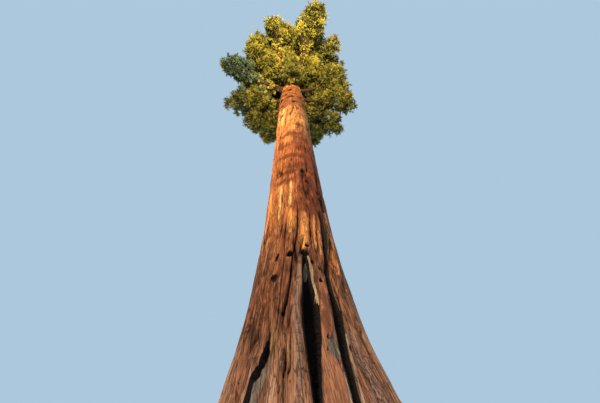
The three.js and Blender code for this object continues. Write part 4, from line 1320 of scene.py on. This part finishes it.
def studio():
    """A pale blue studio with a plain floor and soft lights, the warmest on the column and the crown."""
    bpy.context.scene.view_settings.view_transform = "Standard"
    world = bpy.data.worlds.new("studio")
    world.use_nodes = True
    background = world.node_tree.nodes["Background"]
    background.inputs["Color"].default_value = linear(SKY_COLOUR)
    background.inputs["Strength"].default_value = SKY_STRENGTH
    bpy.context.scene.world = world
    for row in LIGHTS:
        soft_light(*row)
    corners = np.array([(-1, -1, 0), (1, -1, 0), (1, 1, 0), (-1, 1, 0)], float) * FLOOR_HALF
    floor = new_mesh("floor", corners, np.array([[0, 1, 2, 3]]), [floor_material()])
    floor.location.z = -FLOOR_DROP


def photograph_camera():
    camera = bpy.data.objects.new("camera", bpy.data.cameras.new("camera"))
    camera.data.lens = LENS
    camera.data.clip_end = FAR_CLIP
    camera.matrix_world = Matrix.Translation(CAMERA_PLACE)
    for angle, axis in ((CAMERA_YAW, "Z"), (90 + CAMERA_PITCH, "X"), (CAMERA_ROLL, "Z")):
        camera.matrix_world = camera.matrix_world @ Matrix.Rotation(math.radians(angle), 4, axis)
    bpy.context.scene.collection.objects.link(camera)
    bpy.context.scene.camera = camera


def keep(piece, slot, *nodes):
    """The piece stands for the solids: it hangs from the root body, and the solids are hidden. The slot
    is not used.
    """
    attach(piece, "root")
    if nodes:
        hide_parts(*nodes)


rows = MASSES + [row for tier in TIERS for row in tier_rows(*tier)]
masses = [placed_mass(i + 1, *row) for i, row in enumerate(rows)] + [top_mass(len(rows) + 1)]

leaf_tones = {**LEAF_TONES, **COOL_LEAF_TONES, "dry": DRY_LEAF_TONE}
leaf_materials = [leaf_material(f"scale_leaves_{name}", tone) for name, tone in leaf_tones.items()]
trunk_bark = trunk_bark_material()
bough_bark = bough_bark_material()
shape_random = np.random.default_rng(SEED)
spray_shapes = [spray_shape(shape_random, SIDE_CORDS, CORD_HALF_WIDTH) for _ in range(SPRAY_SHAPES)]
shade_shapes = [
    spray_shape(shape_random, SHADE_SIDE_CORDS, SHADE_HALF_WIDTH) for _ in range(SPRAY_SHAPES)
]

stretches = (
    ("bark_butt", 0.0, BUTT_TOP, BUTT_GRID, BUTT_CROWDING),
    ("bark_column", BUTT_TOP - BARK_LAP, TRUNK_TOP, COLUMN_GRID, COLUMN_CROWDING),
)
for stretch in stretches:
    keep(trunk_piece(*stretch, trunk_bark), "bark", "trunk")

stout, fine = [], []
for mass in masses:
    twigs, sprays = twigs_of(mass)
    middles, headings = bunches_of(mass, sprays)
    keep(foliage_piece(mass, middles, headings), "needles", f"foliage_{mass.name}")
    mass_stout, mass_fine = twig_limbs(mass, twigs, middles)
    stout += mass_stout
    fine += mass_fine
    if mass.bough:
        keep(bough_piece(mass, bough_bark), "bough_bark", f"bough_{mass.name}")
keep(joined_limbs("twigs", stout, TWIG_SIDES, bough_bark), "bough_bark")
keep(joined_limbs("fine_twigs", fine, FINE_SIDES, bough_bark), "bough_bark")

studio()
photograph_camera()
